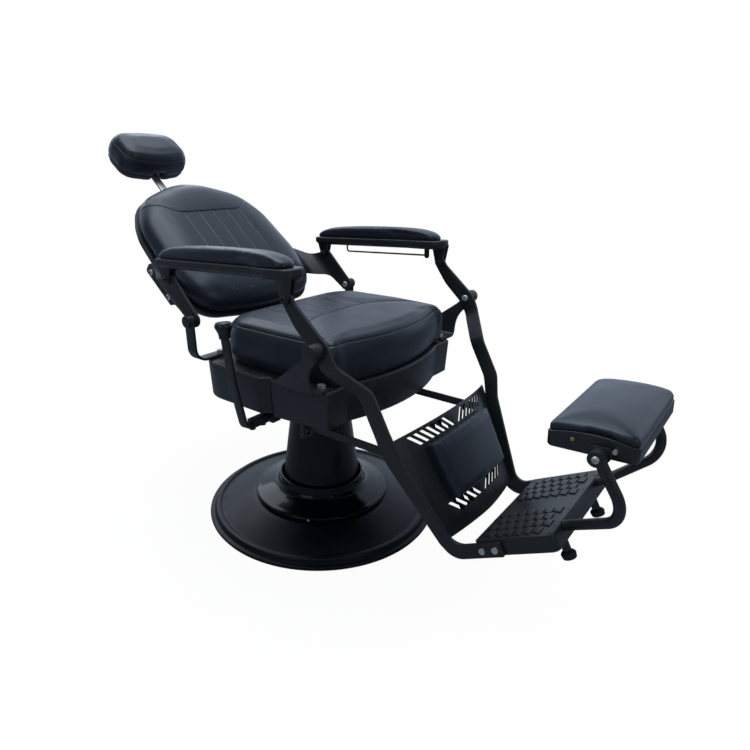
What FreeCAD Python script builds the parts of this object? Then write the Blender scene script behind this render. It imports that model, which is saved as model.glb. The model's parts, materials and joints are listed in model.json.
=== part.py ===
"""Reclining barber chair.

A cast base and a pump column carry a swivelling seat. The back's wings, the armrests and the leg straps
form a parallel linkage, so that tipping the back raises the footrest. Millimetres, +Z up, the sitter
faces -Y, +X is the sitter's left, and the origin is on the swivel axis at the floor.
"""
import FreeCAD
import Part
import math
import os

V = FreeCAD.Vector
X_AXIS = V(1, 0, 0)

# Clearances
RUN_FIT = 0.05            # radial room of a shaft that turns or slides in its hole
GAP = 0.4                 # side room between faces that move past each other

# Base and flange cover
BASE_R = 330.0
BASE_LIP_H = 12.0
BASE_LIP_W = 13.0
BASE_BEAD_H = 25.0
BASE_BEAD_W = 22.0
BASE_HUB_R = 200.0
BASE_HUB_H = 51.0
BASE_FLOOR_T = 12.0
FLANGE_R = 193.0
FLANGE_LIP_H = 12.0
FLANGE_NECK_R = 121.0
FLANGE_H = 60.0
FLANGE_WALL = 4.0

# Pump column
CYLINDER_R = 55.0
CYLINDER_TOP_Z = 300.0
GLAND_H = 18.0
GLAND_RIM = 5.0
PISTON_R = 34.0
PISTON_H = 30.0
RAM_R = 28.0
LIFT_STROKE = 150.0
SPINDLE_R = 20.0
TOP_PLATE_R = 66.0
TOP_PLATE_T = 12.0
CONE_BOTTOM_R = 115.0
CONE_TOP_R = 73.0
CONE_BOTTOM_Z = 70.0
CONE_WALL = 4.0
SWIVEL_PLATE_HALF = 120.0
SWIVEL_PLATE_T = 13.6

# Seat box and cushion
SEAT_BOX_BOTTOM_Z = 402.0
SEAT_BOX_H = 92.0
SEAT_BOX_HALF_W = 290.0
SEAT_BOX_REAR_Y = 182.0
SEAT_BOX_REAR_R = 100.0
SEAT_BOX_DRAFT = 5.0
SEAT_BOX_BEVEL = 4.0
SEAT_FRONT_APEX_Y = -317.0
SEAT_FRONT_R = 560.0
EAR_FRONT_Y = -254.0
EAR_INNER_X = 195.0
EAR_HALF_W = 267.0
EAR_REAR_Y = -98.0
FLUTE_W = 32.0
FLUTE_DEPTH = 20.0
CUSHION_H = 109.0
CUSHION_HALF_W = 254.0
CUSHION_FRONT_HALF_W = 244.0
CUSHION_SHOULDER_Y = -112.0
CUSHION_REAR_Y = 135.0
CUSHION_SET_BACK = 3.0
CHANNEL_PITCH = 52.0
CHANNEL_COUNT = 5
CHANNEL_DEPTH = 4.0
CHANNEL_W = 7.0
SEAT_SEAM_Y = -80.0

# Linkage pivots: A back, B armrest rear, C armrest front, D leg
PIVOT_A_Y = 145.0
PIVOT_A_Z = 600.0
PIVOT_D_Y = -274.0
PIVOT_D_Z = 609.0
LINK_DY = 88.0
LINK_DZ = 92.0
BLADE_X = 300.0           # middle plane of the wings and of the armrests
STRAP_X = 312.0           # middle plane of the leg straps at their pivots
BLADE_T = 8.0
PIVOT_BOLT_R = 6.0
PIVOT_HEAD_R = 9.5
PIVOT_HEAD_H = 6.0
ARM_BOLT_R = 5.0
ARM_HEAD_R = 8.0
ARM_HEAD_H = 4.0

# Seat brackets
BRACKET_T = 6.0
FRONT_BARREL_R = 17.0
FRONT_BARREL_END_X = 350.0
REAR_BARREL_R = 15.0
REAR_BARREL_END_X = 327.0
BARREL_CAP_T = 7.0
FRONT_FOOT_INNER_X = 230.0
FRONT_FOOT_FRONT_Y = -246.0
FRONT_FOOT_REAR_Y = -145.0
FRONT_FOOT_BOLT_X = 258.0
FRONT_FOOT_BOLT_Y = -229.0
REAR_FOOT_INNER_X = 206.0
REAR_FOOT_BOLT_X = 228.0
REAR_STRAP_W = 31.0
FOOT_BOLT_R = 9.0
FOOT_BOLT_H = 7.0

# Back
BACK_RECLINE = 49.5       # lean of the back from upright, in degrees
BACK_HALF_W = 242.0
BACK_BOTTOM = 24.0         # along the back from pivot A
BACK_CORNER = 52.0
BACK_WAIST = 190.0
BACK_SHOULDER = 362.0
BACK_CROWN = 454.0
BACK_CROWN_HALF_W = 178.0
BACK_APEX = 530.0
BACK_CUSHION_T = 68.0
BACK_SHELL_T = 32.0
BACK_SHELL_RIM = 6.0
WING_SEAT_X = 251.0
BACK_SEAM = 362.0
WING_BAR_LOW = 118.0
WING_BAR_HIGH = 250.0
WING_BAR_W = 30.0
WING_A_R = 17.0
WING_BEND_OUT = 26.0      # bend of the wing behind pivot A, clear of the bolt's head
WING_B_R = 15.0
WING_BOLT_R = 4.0
WING_BOLT_HEAD_R = 8.5
WING_BOLT_HEAD_H = 5.0

# Headrest
HEADREST_TILT = 54.5      # lean of the headrest from upright, in degrees
HEADREST_ALONG = 687.0    # along the back from pivot A
HEADREST_OUT = -77.0      # in front of pivot A, square to the back
HEADREST_HALF_W = 114.0
HEADREST_HALF_L = 72.0
HEADREST_T = 86.0
HEADREST_POCKET_W = 44.0
HEADREST_POCKET_D = 36.0
HEADREST_BAR_W = 26.0
HEADREST_BAR_T = 6.0
HEADREST_BAR_OUT = -111.0
HEADREST_BAR_LOW = 395.0
HEADREST_KNUCKLE_R = 8.0
HEADREST_PIN_R = 4.0
HEADREST_BRACKET_T = 3.0
SOCKET_LOW = 375.0
SOCKET_L = 90.0
SOCKET_WALL = 6.0

# Armrests
ARM_TILT = 2.5            # rise of the armrest towards its front, in degrees
ARM_TOP = 51.5            # top of the tray above pivot B
ARM_TRAY_H = 23.0
ARM_REAR_Y = 258.0
ARM_FRONT_Y = -211.0
ARM_REAR_HALF_W = 23.0
ARM_BULB_HALF_W = 31.0
ARM_BULB_L = 70.0
ARM_PAD_H = 27.0
ARM_PAD_SET_IN = 4.0
ARM_PAD_FRONT_STEP = 20.0
FORK_CHEEK_T = 6.0
FORK_EYE_R = 11.5
FORK_TOP_HALF_W = 21.0

# Recline trigger under the left armrest
WIRE_R = 2.5
TRIGGER_REAR_Y = 140.0
TRIGGER_FRONT_Y = -155.0
TRIGGER_DROP = 22.0
TRIGGER_TRAVEL = 12.0
TRIGGER_TAB_T = 4.0
TRIGGER_TAB_R = 7.0

# Legrest: straps, panel and calf pad, in the upright leg's own frame below pivot D
LEG_SWING = 28.4          # forward swing of the leg from upright, in degrees
STRAP_JOG_TOP = 42.0
STRAP_JOG_LOW = 122.0
STRAP_TAPER_TOP = 225.0
STRAP_PANEL_X = 252.0
STRAP_FOOT_X = 168.0
STRAP_STRAIGHT_LOW = 503.0
STRAP_REAR = 13.0
STRAP_FRONT = -20.0
STRAP_BOW = 14.0          # how far the strap bows forward above the panel
STRAP_BEND_R = 45.0
STRAP_TAB_W = 32.0
STRAP_TAB_L = 132.0
STRAP_D_R = 20.0
STRAP_C_R = 14.0
STRAP_BOLT_R = 7.0
STRAP_BOLT_H = 4.0
STRAP_BOLT_REACH = (85.0, 116.0)
PANEL_TOP = 238.0
PANEL_LOW = 486.0
PANEL_BULGE = 41.0
PANEL_SET_BACK = 15.0     # of its side edges behind the leg's plane
PANEL_SAG = 3.0          # drop of the lower edge at the middle
PANEL_T = 4.0
SLOT_W = 11.0
SLOT_H = 28.0
SLOT_PITCH = 20.5
SLOT_LEAN = 30.0
SLOT_TOP_COUNT = 7
SLOT_LOW_COUNT = 5
SLOT_TOP_MARGIN = 22.0
SLOT_LOW_MARGIN = 52.0
CALF_PAD_HALF_W = 128.0
CALF_PAD_TAPER = 14.0
CALF_PAD_H = 136.0
CALF_PAD_T = 30.0

# Footplate, its feet and the bent tubes
PLATE_DEPTH = 177.0
PLATE_REAR = 70.0         # rear edge in front of the leg's plane
PLATE_DROP = 496.0        # top of the plate below pivot D
PLATE_T = 8.0
PLATE_SKIRT_H = 36.0
PLATE_WALL = 6.0
TREAD_H = 3.0
TREAD_ROWS = 4
TREAD_COLUMNS = 10
FOOT_X = 97.0
FOOT_SET_BACK = 19.0
FOOT_ROD_R = 9.0
FOOT_ROD_L = 58.0
FOOT_RUBBER_R = 16.0
FOOT_RUBBER_H = 16.0
FOOT_CLEAR = 1.0          # from the rubber feet to the bosses of the pad tubes
TUBE_R = 10.5
TUBE_PLATE_X = 106.0
TUBE_DROP = 506.0
TUBE_REACH = 397.0
TUBE_BEND_R = 56.0

# Foot pad
PAD_PIVOT_REACH = 388.0   # in front of the leg's plane
PAD_PIVOT_DROP = 358.0    # below pivot D
PAD_TILT = 3.0
PAD_HALF_W = 150.0
PAD_REAR = 98.5           # from the pad's pivot
PAD_FRONT = 61.5
PAD_TRAY_H = 41.0         # of the tray's arched sides at their middle
PAD_TRAY_ARCH = 11.0      # drop of the tray's sides from their middle to their ends
PAD_LIFT = -10.0            # underside of the tray above the pivot
PAD_CUSHION_H = 21.0
PAD_CUSHION_ARCH = 17.0
PAD_BRACKET_T = 4.6
PAD_BRACKET_R = 19.0
PAD_EYE_R = 15.0
PAD_EYE_L = 27.0
TUBE_RISE = 25.0          # rise of the tube from the plate to its bend
PAD_BOLT_R = 5.0
PAD_HEAD_R = 7.0

# Lock bars between the seat and the legrest
LOCK_X = 185.0
LOCK_T = 6.0
LOCK_W = 20.0
LOCK_L = 288.0
LOCK_PIN_R = 4.0
LOCK_PIN_BACK = 20.0      # behind the leg's plane
LOCK_PIN_DROP = 282.0     # below pivot D
LOCK_LUG_T = 5.0
GUIDE_Y = -115.0
GUIDE_T = 12.0
GUIDE_HALF_W = 18.0
GUIDE_WINDOW_H = 48.0
GUIDE_WALL = 8.0

# Pump lever on the sitter's right
LEVER_Y = -35.0
LEVER_Z = 376.0
LEVER_LEAN = 5.0          # backward lean in degrees
LEVER_SHAFT_R = 9.0
LEVER_SHAFT_INNER_X = -197.0
LEVER_PAD_X = -248.0
LEVER_BAR_X = -316.0
LEVER_BAR_T = 8.0
LEVER_BAR_W = 24.0
LEVER_TOP = 216.0         # top of the bar above the shaft
LEVER_SPLAY = 25.0
LEVER_BOW = 7.0           # how far the bar bows outwards at half height
LEVER_PAD_T = 12.0
LEVER_BEND_R = 20.0
LEVER_END_GAP = 2.0       # from the shaft's round part to the bar's end
KNOB_R = 21.0
KNOB_H = 40.0
KNOB_SEAT = 0.2           # room for the bar's slanted end
BEARING_X = -241.0
BEARING_L = 24.0
BEARING_HALF_W = 24.0

# Places that follow from the sizes above
SEAT_BOX_TOP_Z = SEAT_BOX_BOTTOM_Z + SEAT_BOX_H
SWIVEL_PLATE_Z = SEAT_BOX_BOTTOM_Z - SWIVEL_PLATE_T
CONE_TOP_Z = SWIVEL_PLATE_Z - GAP
TOP_PLATE_Z = CONE_TOP_Z - CONE_WALL - TOP_PLATE_T
PIVOT_A = V(0, PIVOT_A_Y, PIVOT_A_Z)
PIVOT_B = V(0, PIVOT_A_Y + LINK_DY, PIVOT_A_Z + LINK_DZ)
PIVOT_C = V(0, PIVOT_D_Y + LINK_DY, PIVOT_D_Z + LINK_DZ)
PIVOT_D = V(0, PIVOT_D_Y, PIVOT_D_Z)
BLADE_IN = BLADE_X - BLADE_T / 2
BLADE_OUT = BLADE_X + BLADE_T / 2
EYE_IN_X = PAD_HALF_W + PAD_BRACKET_T + GAP
TUBE_PAD_X = EYE_IN_X + PAD_EYE_L / 2
CUSHION_TOP_Z = SEAT_BOX_TOP_Z + CUSHION_H


# Drawing helpers

def unit(ax, ay):
    """Unit vector along (ax, ay)."""
    length = math.hypot(ax, ay)
    return ax / length, ay / length


def spot(plane, a, b, at):
    """Point of a drawing plane: XY, YZ or XZ, with the third coordinate at."""
    if plane == "XY":
        return V(a, b, at)
    if plane == "YZ":
        return V(at, a, b)
    return V(a, at, b)


def corner_half_angle(before, corner, after):
    """Half of the angle between the two sides of a corner."""
    ux, uy = unit(before[0] - corner[0], before[1] - corner[1])
    wx, wy = unit(after[0] - corner[0], after[1] - corner[1])
    return math.acos(max(-1.0, min(1.0, ux * wx + uy * wy))) / 2


def corner_round(before, corner, after, reach):
    """Start, middle and end of the arc that rounds a corner over a reach along its sides."""
    ux, uy = unit(before[0] - corner[0], before[1] - corner[1])
    wx, wy = unit(after[0] - corner[0], after[1] - corner[1])
    half = corner_half_angle(before, corner, after)
    radius = reach * math.tan(half)
    bx, by = unit(ux + wx, uy + wy)
    depth = radius / math.sin(half) - radius
    start = (corner[0] + ux * reach, corner[1] + uy * reach)
    middle = (corner[0] + bx * depth, corner[1] + by * depth)
    end = (corner[0] + wx * reach, corner[1] + wy * reach)
    return start, middle, end


def corner_reaches(corners):
    """How far each rounding runs along its sides, shortened where two would meet."""
    count = len(corners)
    wanted = []
    for k, corner in enumerate(corners):
        half = corner_half_angle(corners[k - 1], corner, corners[(k + 1) % count])
        wanted.append(corner[2] / math.tan(half))
    reaches = list(wanted)
    for k, corner in enumerate(corners):
        following = (k + 1) % count
        length = math.hypot(corners[following][0] - corner[0], corners[following][1] - corner[1])
        both = wanted[k] + wanted[following]
        if both > 0.99 * length:
            share = 0.99 * length / both
            reaches[k] = min(reaches[k], wanted[k] * share)
            reaches[following] = min(reaches[following], wanted[following] * share)
    return reaches


def outline(corners, plane, at):
    """Closed wire through corners (x, y, radius), each rounded by its radius."""
    count = len(corners)
    reaches = corner_reaches(corners)
    rounds = []
    for k, corner in enumerate(corners):
        if corner[2] > 0:
            rounds.append(corner_round(corners[k - 1], corner, corners[(k + 1) % count], reaches[k]))
        else:
            rounds.append((corner[:2], None, corner[:2]))
    edges = []
    for k, (start, middle, end) in enumerate(rounds):
        if middle is not None:
            arc = Part.Arc(spot(plane, *start, at), spot(plane, *middle, at), spot(plane, *end, at))
            edges.append(arc.toShape())
        following = rounds[(k + 1) % count][0]
        run = Part.LineSegment(spot(plane, *end, at), spot(plane, *following, at))
        edges.append(run.toShape())
    return Part.Wire(edges)


def prism(corners, plane, low, high):
    """Solid of a rounded outline between two levels of the plane's third axis."""
    face = Part.Face(outline(corners, plane, low))
    return face.extrude(spot(plane, 0, 0, high) - spot(plane, 0, 0, low))


def turned(corners):
    """Solid of revolution about Z from an outline of (radius, z, rounding)."""
    return Part.Face(outline(corners, "XZ", 0)).revolve(V(0, 0, 0), V(0, 0, 1), 360)


def rod(start, end, radius):
    """Round bar between two points."""
    run = end - start
    return Part.makeCylinder(radius, run.Length, start, run)


def strip_corners(path, thickness):
    """Outline of a bent sheet whose middle line is the path of (x, y, bend radius)."""
    half = thickness / 2
    normals = []
    for p, q in zip(path, path[1:]):
        ux, uy = unit(q[0] - p[0], q[1] - p[1])
        normals.append((-uy, ux))
    left = []
    right = []
    for k, (x, y, radius) in enumerate(path):
        n1 = normals[max(k - 1, 0)]
        n2 = normals[min(k, len(normals) - 1)]
        share = half / (1 + n1[0] * n2[0] + n1[1] * n2[1])
        dx = (n1[0] + n2[0]) * share
        dy = (n1[1] + n2[1]) * share
        side = half if n1[0] * n2[1] - n1[1] * n2[0] > 0 else -half
        bent = radius > 0
        left.append((x + dx, y + dy, radius - side if bent else 0))
        right.append((x - dx, y - dy, radius + side if bent else 0))
    return left + right[::-1]


def inset(corners, depth):
    """Anticlockwise rounded outline moved inwards by depth."""
    count = len(corners)
    moved = []
    for k, (x, y, radius) in enumerate(corners):
        px, py = corners[k - 1][:2]
        qx, qy = corners[(k + 1) % count][:2]
        ax, ay = unit(x - px, y - py)
        bx, by = unit(qx - x, qy - y)
        share = depth / (1 + ax * bx + ay * by)
        turn = 1 if ax * by - ay * bx > 0 else -1
        rounding = max(radius - turn * depth, radius * 0.3) if radius > 0 else 0
        moved.append((x - (ay + by) * share, y + (ax + bx) * share, rounding))
    return moved


def padded(corners, levels):
    """Loft of one outline through levels of (height, inset)."""
    wires = [outline(inset(corners, depth), "XY", height) for height, depth in levels]
    return Part.makeLoft(wires, True, True)


def both_sides(half):
    """Anticlockwise outline from its +X half, which runs from front to rear."""
    middle = [c for c in half if c[0] == 0]
    side = [c for c in half if c[0] != 0]
    front = [c for c in middle if c[1] < side[0][1]]
    rear = [c for c in middle if c[1] >= side[0][1]]
    return front + side + rear + [(-x, y, r) for x, y, r in side[::-1]]


def groove(start, end, top):
    """V-shaped cutter along a straight channel in a surface at height top."""
    run = end - start
    across = V(-run.y, run.x, 0).normalize() * CHANNEL_W
    base = V(start.x, start.y, top + CHANNEL_DEPTH)
    tip = V(start.x, start.y, top - CHANNEL_DEPTH)
    wire = Part.makePolygon([base - across, tip, base + across, base - across])
    return Part.Face(wire).extrude(V(run.x, run.y, 0))


def mirrored(shape):
    """The same shape on the other side of the chair."""
    return shape.mirror(V(0, 0, 0), X_AXIS)


def pair(shape):
    """The shape and its mirror image as a group of two solids."""
    return Part.Compound([shape, mirrored(shape)])


def bolt_x(x_seat, x_tip, y, z, shank_r, head_r, head_h):
    """Bolt along X with its head's seat at x_seat and its shank's tip at x_tip."""
    way = 1 if x_tip > x_seat else -1
    shank = rod(V(x_seat, y, z), V(x_tip, y, z), shank_r)
    head = rod(V(x_seat, y, z), V(x_seat - way * head_h, y, z), head_r)
    return shank.fuse(head).removeSplitter()


def bent_path(points):
    """Wire through points (vector, bend radius) with tangent arcs at the bends."""
    edges = []
    last = points[0][0]
    for k in range(1, len(points) - 1):
        corner, radius = points[k]
        before = (points[k - 1][0] - corner).normalize()
        after = (points[k + 1][0] - corner).normalize()
        half = before.getAngle(after) / 2
        start = corner + before * (radius / math.tan(half))
        end = corner + after * (radius / math.tan(half))
        middle = corner + (before + after).normalize() * (radius / math.sin(half) - radius)
        edges.append(Part.LineSegment(last, start).toShape())
        edges.append(Part.Arc(start, middle, end).toShape())
        last = end
    edges.append(Part.LineSegment(last, points[-1][0]).toShape())
    return Part.Wire(edges)


def bent_tube(points, radius):
    """Round bar along a bent path."""
    path = bent_path(points)
    run = points[1][0] - points[0][0]
    ring = Part.Wire(Part.makeCircle(radius, points[0][0], run))
    return path.makePipeShell([ring], True, False)


def on_back(shape):
    """Shape drawn as (across, along the back, out of the back), set at pivot A."""
    return shape.rotated(V(0, 0, 0), X_AXIS, 90 - BACK_RECLINE).translated(PIVOT_A)


def on_leg(shape):
    """Shape drawn on an upright leg below pivot D, swung forward."""
    return shape.rotated(V(0, 0, 0), X_AXIS, -LEG_SWING).translated(PIVOT_D)


def leg_point(y, z):
    """Place in the chair of a point of the upright leg."""
    turn = math.radians(-LEG_SWING)
    out = V(0, y * math.cos(turn) - z * math.sin(turn), y * math.sin(turn) + z * math.cos(turn))
    return out + PIVOT_D


def back_point(along, out):
    """Place in the chair of a point of the back."""
    turn = math.radians(90 - BACK_RECLINE)
    y = along * math.cos(turn) - out * math.sin(turn)
    z = along * math.sin(turn) + out * math.cos(turn)
    return V(0, y, z) + PIVOT_A


# Base and column

def base_plate():
    """Cast disc with a stepped lip, a bead and a recess that seats the pump."""
    bead_out = BASE_R - BASE_LIP_W
    bead_in = bead_out - BASE_BEAD_W
    recess = CYLINDER_R + RUN_FIT
    return turned([(0, 0, 0), (BASE_R - 5, 0, 0), (BASE_R, 0.6 * BASE_LIP_H, 4), (BASE_R - 1, BASE_LIP_H, 4),
                   (bead_out, BASE_LIP_H + 1, 0),
                   (bead_out - 5, BASE_BEAD_H, 5), (bead_in + 6, BASE_BEAD_H, 5),
                   (bead_in, BASE_BEAD_H - 4, 0), (BASE_HUB_R, BASE_HUB_H - 1, 0),
                   (recess, BASE_HUB_H, 0), (recess, BASE_FLOOR_T, 0), (0, BASE_FLOOR_T, 0)])


def flange_cover():
    """Trumpet-shaped cover with a rolled lip and an upright neck."""
    low = BASE_HUB_H
    top = low + FLANGE_H
    neck = FLANGE_NECK_R
    wall = FLANGE_WALL
    return turned([(FLANGE_R - wall, low, 0), (FLANGE_R, low, 0), (FLANGE_R, low + FLANGE_LIP_H, 5),
                   (FLANGE_R - 14, low + FLANGE_LIP_H + 3, 12), (neck + 4, low + FLANGE_H * 0.5, 24),
                   (neck, top, 0), (neck - wall, top, 0), (neck - wall + 3, low + FLANGE_H * 0.42, 0),
                   (FLANGE_R - 16, low + FLANGE_LIP_H - 1, 0), (FLANGE_R - wall, low + FLANGE_LIP_H - 4, 0)])


def pump_cylinder():
    """Blind tube that stands in the base and guides the piston."""
    bore = PISTON_R + RUN_FIT
    floor = BASE_FLOOR_T
    return turned([(0, floor, 0), (CYLINDER_R, floor, 0), (CYLINDER_R, CYLINDER_TOP_Z, 0),
                   (bore, CYLINDER_TOP_Z, 0), (bore, floor + 8, 0), (0, floor + 8, 0)])


def pump_gland():
    """Collar on the cylinder's mouth that guides the ram."""
    rim = CYLINDER_R + GLAND_RIM
    bore = RAM_R + RUN_FIT
    top = CYLINDER_TOP_Z + GLAND_H
    return turned([(bore, CYLINDER_TOP_Z, 0), (rim, CYLINDER_TOP_Z, 0), (rim, top, 0), (bore, top, 0)])


def ram():
    """Piston, ram and swivel spindle in one turned piece."""
    low = CYLINDER_TOP_Z - PISTON_H - LIFT_STROKE - 10
    top = SEAT_BOX_BOTTOM_Z - 3
    return turned([(0, low, 0), (PISTON_R, low, 0), (PISTON_R, low + PISTON_H, 0), (RAM_R, low + PISTON_H, 0),
                   (RAM_R, TOP_PLATE_Z, 0), (SPINDLE_R, TOP_PLATE_Z, 0), (SPINDLE_R, top, 0), (0, top, 0)])


def top_plate():
    """Disc on the ram's shoulder that holds the cone shroud."""
    bore = SPINDLE_R + RUN_FIT
    low = TOP_PLATE_Z
    top = low + TOP_PLATE_T
    return turned([(bore, low, 0), (TOP_PLATE_R, low, 0), (TOP_PLATE_R, top, 0), (bore, top, 0)])


def cone_shroud():
    """Tapered cover that rises with the ram, hung by its top lip."""
    lip = SPINDLE_R + 2
    wall = CONE_WALL
    low = CONE_BOTTOM_Z
    top = CONE_TOP_Z
    return turned([(CONE_BOTTOM_R - wall, low, 0), (CONE_BOTTOM_R, low, 0), (CONE_TOP_R, top, 3), (lip, top, 0),
                   (lip, top - wall, 0), (CONE_TOP_R - wall, top - wall, 0)])


def swivel_plate():
    """Square plate under the seat box that turns on the spindle."""
    half = SWIVEL_PLATE_HALF
    plate = prism([(half, -half, 30), (half, half, 30), (-half, half, 30), (-half, -half, 30)], "XY",
                  SWIVEL_PLATE_Z, SEAT_BOX_BOTTOM_Z)
    return plate.cut(rod(V(0, 0, SWIVEL_PLATE_Z), V(0, 0, SEAT_BOX_BOTTOM_Z), SPINDLE_R + RUN_FIT))


def swivel_bolts():
    """Four bolt heads under the swivel plate's corners."""
    place = SWIVEL_PLATE_HALF - 22
    heads = []
    for sx in (-1, 1):
        for sy in (-1, 1):
            at = V(sx * place, sy * place, SWIVEL_PLATE_Z)
            heads.append(rod(at - V(0, 0, FOOT_BOLT_H), at, FOOT_BOLT_R))
    return Part.Compound(heads)


# Seat

def seat_box_plan():
    """Plan of the seat box: bowed front, square ears, fluted sides and round rear corners."""
    flute_low = EAR_REAR_Y
    flute_high = EAR_REAR_Y + FLUTE_W
    side = SEAT_BOX_HALF_W
    return both_sides([(0, SEAT_FRONT_APEX_Y, SEAT_FRONT_R), (EAR_INNER_X, EAR_FRONT_Y, 10),
                       (EAR_HALF_W, EAR_FRONT_Y, 6), (side - 5, flute_low, 8),
                       (side - FLUTE_DEPTH, (flute_low + flute_high) / 2, 8), (side, flute_high, 2),
                       (side, SEAT_BOX_REAR_Y, SEAT_BOX_REAR_R)])


def seat_box():
    """Drafted box with a bevelled top edge."""
    return padded(seat_box_plan(), [(SEAT_BOX_BOTTOM_Z, SEAT_BOX_DRAFT), (SEAT_BOX_TOP_Z - SEAT_BOX_BEVEL, 0),
                                    (SEAT_BOX_TOP_Z, SEAT_BOX_BEVEL)])


def cushion_plan():
    """Plan of the seat cushion: bowed front, square corners over the ears and a round rear."""
    front = EAR_FRONT_Y + CUSHION_SET_BACK
    return both_sides([(0, SEAT_FRONT_APEX_Y + CUSHION_SET_BACK, SEAT_FRONT_R), (EAR_INNER_X, front, 24),
                       (CUSHION_FRONT_HALF_W, front, 22), (CUSHION_HALF_W, CUSHION_SHOULDER_Y, 60),
                       (CUSHION_HALF_W, CUSHION_REAR_Y, 95)])


def crown_plan():
    """Plan of the flat middle of the seat cushion's crown."""
    front = EAR_FRONT_Y + CUSHION_SET_BACK
    return both_sides([(0, SEAT_FRONT_APEX_Y + 80, 420), (0.52 * CUSHION_HALF_W, front + 50, 220),
                       (0.73 * CUSHION_HALF_W, front + 72, 40), (0.76 * CUSHION_HALF_W, CUSHION_SHOULDER_Y + 30, 60),
                       (0.74 * CUSHION_HALF_W, CUSHION_REAR_Y - 70, 80)])


def between(plan, other, share):
    """Outline part of the way from one plan to another with the same corners."""
    return [tuple(a + (b - a) * share for a, b in zip(p, q)) for p, q in zip(plan, other)]


def seat_cushion():
    """Crowned cushion, drawn in at the foot, with sewn channels behind a cross seam."""
    wires = []
    for height, depth, share in ((0, 14, 0), (0.15, 3, 0), (0.42, 0, 0), (0.68, 1, 0), (0.83, 6, 0), (0.92, 14, 0.1),
                                 (0.98, 16, 0.5), (1, 16, 1)):
        plan = between(inset(cushion_plan(), depth), crown_plan(), share)
        wires.append(outline(plan, "XY", SEAT_BOX_TOP_Z + height * CUSHION_H))
    body = Part.makeLoft(wires, True, True)
    span = (CHANNEL_COUNT - 1) * CHANNEL_PITCH / 2
    rear = CUSHION_REAR_Y - 60
    cutters = [groove(V(-span, SEAT_SEAM_Y, 0), V(span, SEAT_SEAM_Y, 0), CUSHION_TOP_Z)]
    for k in range(CHANNEL_COUNT):
        x = k * CHANNEL_PITCH - span
        cutters.append(groove(V(x, SEAT_SEAM_Y, 0), V(x, rear, 0), CUSHION_TOP_Z))
    return body.cut(cutters)


def barrel(plane_x, y, z, radius, end_x):
    """Pivot barrel along X beside a blade, with a blind bore for its bolt."""
    start = plane_x + BLADE_T / 2 + GAP
    body = rod(V(start, y, z), V(end_x, y, z), radius)
    bore = rod(V(start, y, z), V(end_x - BARREL_CAP_T, y, z), PIVOT_BOLT_R + RUN_FIT)
    return body, bore


def front_bracket():
    """Bowed plate that rises from the ear to the leg's pivot barrel (sitter's left)."""
    y = PIVOT_D_Y
    z = PIVOT_D_Z
    foot = SEAT_BOX_TOP_Z + BRACKET_T / 2
    rise = z - foot
    top_x = (STRAP_X + BLADE_T / 2 + GAP + FRONT_BARREL_END_X) / 2
    path = [(FRONT_FOOT_INNER_X, foot, 0), (STRAP_X - 8, foot, 14),
            (STRAP_X + 8, foot + 0.45 * rise, 80), (top_x, z, 0)]
    sheet = prism(strip_corners(path, BRACKET_T), "XZ", y - 40, FRONT_FOOT_REAR_Y + 20)
    neck = FRONT_BARREL_R - 1
    low = SEAT_BOX_TOP_Z - 1
    crease = SEAT_BOX_TOP_Z + 2 * BRACKET_T
    side = [(FRONT_FOOT_FRONT_Y, low, 0), (FRONT_FOOT_REAR_Y, low, 0), (FRONT_FOOT_REAR_Y, crease + 8, 14),
            (y + 33, z - 22, 30), (y + neck, z - 2, 4), (y + neck, z + 2, 0),
            (y - neck, z + 2, 0), (y - neck, z - 8, 4), (y + 31, z - 0.52 * rise, 60),
            (FRONT_FOOT_FRONT_Y, crease, 6)]
    plate = sheet.common(prism(side, "YZ", FRONT_FOOT_INNER_X - 1, FRONT_BARREL_END_X))
    body, bore = barrel(STRAP_X, y, z, FRONT_BARREL_R, FRONT_BARREL_END_X)
    room = prism(inset(cushion_plan(), -GAP), "XY", SEAT_BOX_TOP_Z, SEAT_BOX_TOP_Z + 3 * BRACKET_T)
    return plate.fuse(body).cut([bore, room]).removeSplitter()


def rear_bracket():
    """J-shaped strap from the box's rear corner up to the back's pivot barrel (sitter's left)."""
    y = PIVOT_A_Y
    foot = SEAT_BOX_TOP_Z + BRACKET_T / 2
    top_x = (BLADE_OUT + GAP + REAR_BARREL_END_X) / 2
    path = [(REAR_FOOT_INNER_X, foot, 0), (top_x - 3, foot, 34), (top_x, PIVOT_A_Z, 0)]
    half = REAR_STRAP_W / 2
    strap = prism(strip_corners(path, BRACKET_T), "XZ", y - half, y + half)
    body, bore = barrel(BLADE_X, y, PIVOT_A_Z, REAR_BARREL_R, REAR_BARREL_END_X)
    return strap.fuse(body).cut(bore).removeSplitter()


def bracket_bolts():
    """Bolt heads on the feet of the four brackets."""
    z = SEAT_BOX_TOP_Z + BRACKET_T
    heads = []
    for x, y in ((FRONT_FOOT_BOLT_X, FRONT_FOOT_BOLT_Y), (REAR_FOOT_BOLT_X, PIVOT_A_Y)):
        for side in (-1, 1):
            heads.append(rod(V(side * x, y, z), V(side * x, y, z + FOOT_BOLT_H), FOOT_BOLT_R))
    return Part.Compound(heads)


def pivot_bolts():
    """Bolts in the four barrels, on which the wings and the leg straps turn."""
    bolts = []
    for plane_x, point, end_x in ((BLADE_X, PIVOT_A, REAR_BARREL_END_X), (STRAP_X, PIVOT_D, FRONT_BARREL_END_X)):
        bolt = bolt_x(plane_x - BLADE_T / 2 - GAP, end_x - BARREL_CAP_T, point.y, point.z, PIVOT_BOLT_R, PIVOT_HEAD_R,
                      PIVOT_HEAD_H)
        bolts += [bolt, mirrored(bolt)]
    return Part.Compound(bolts)


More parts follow.
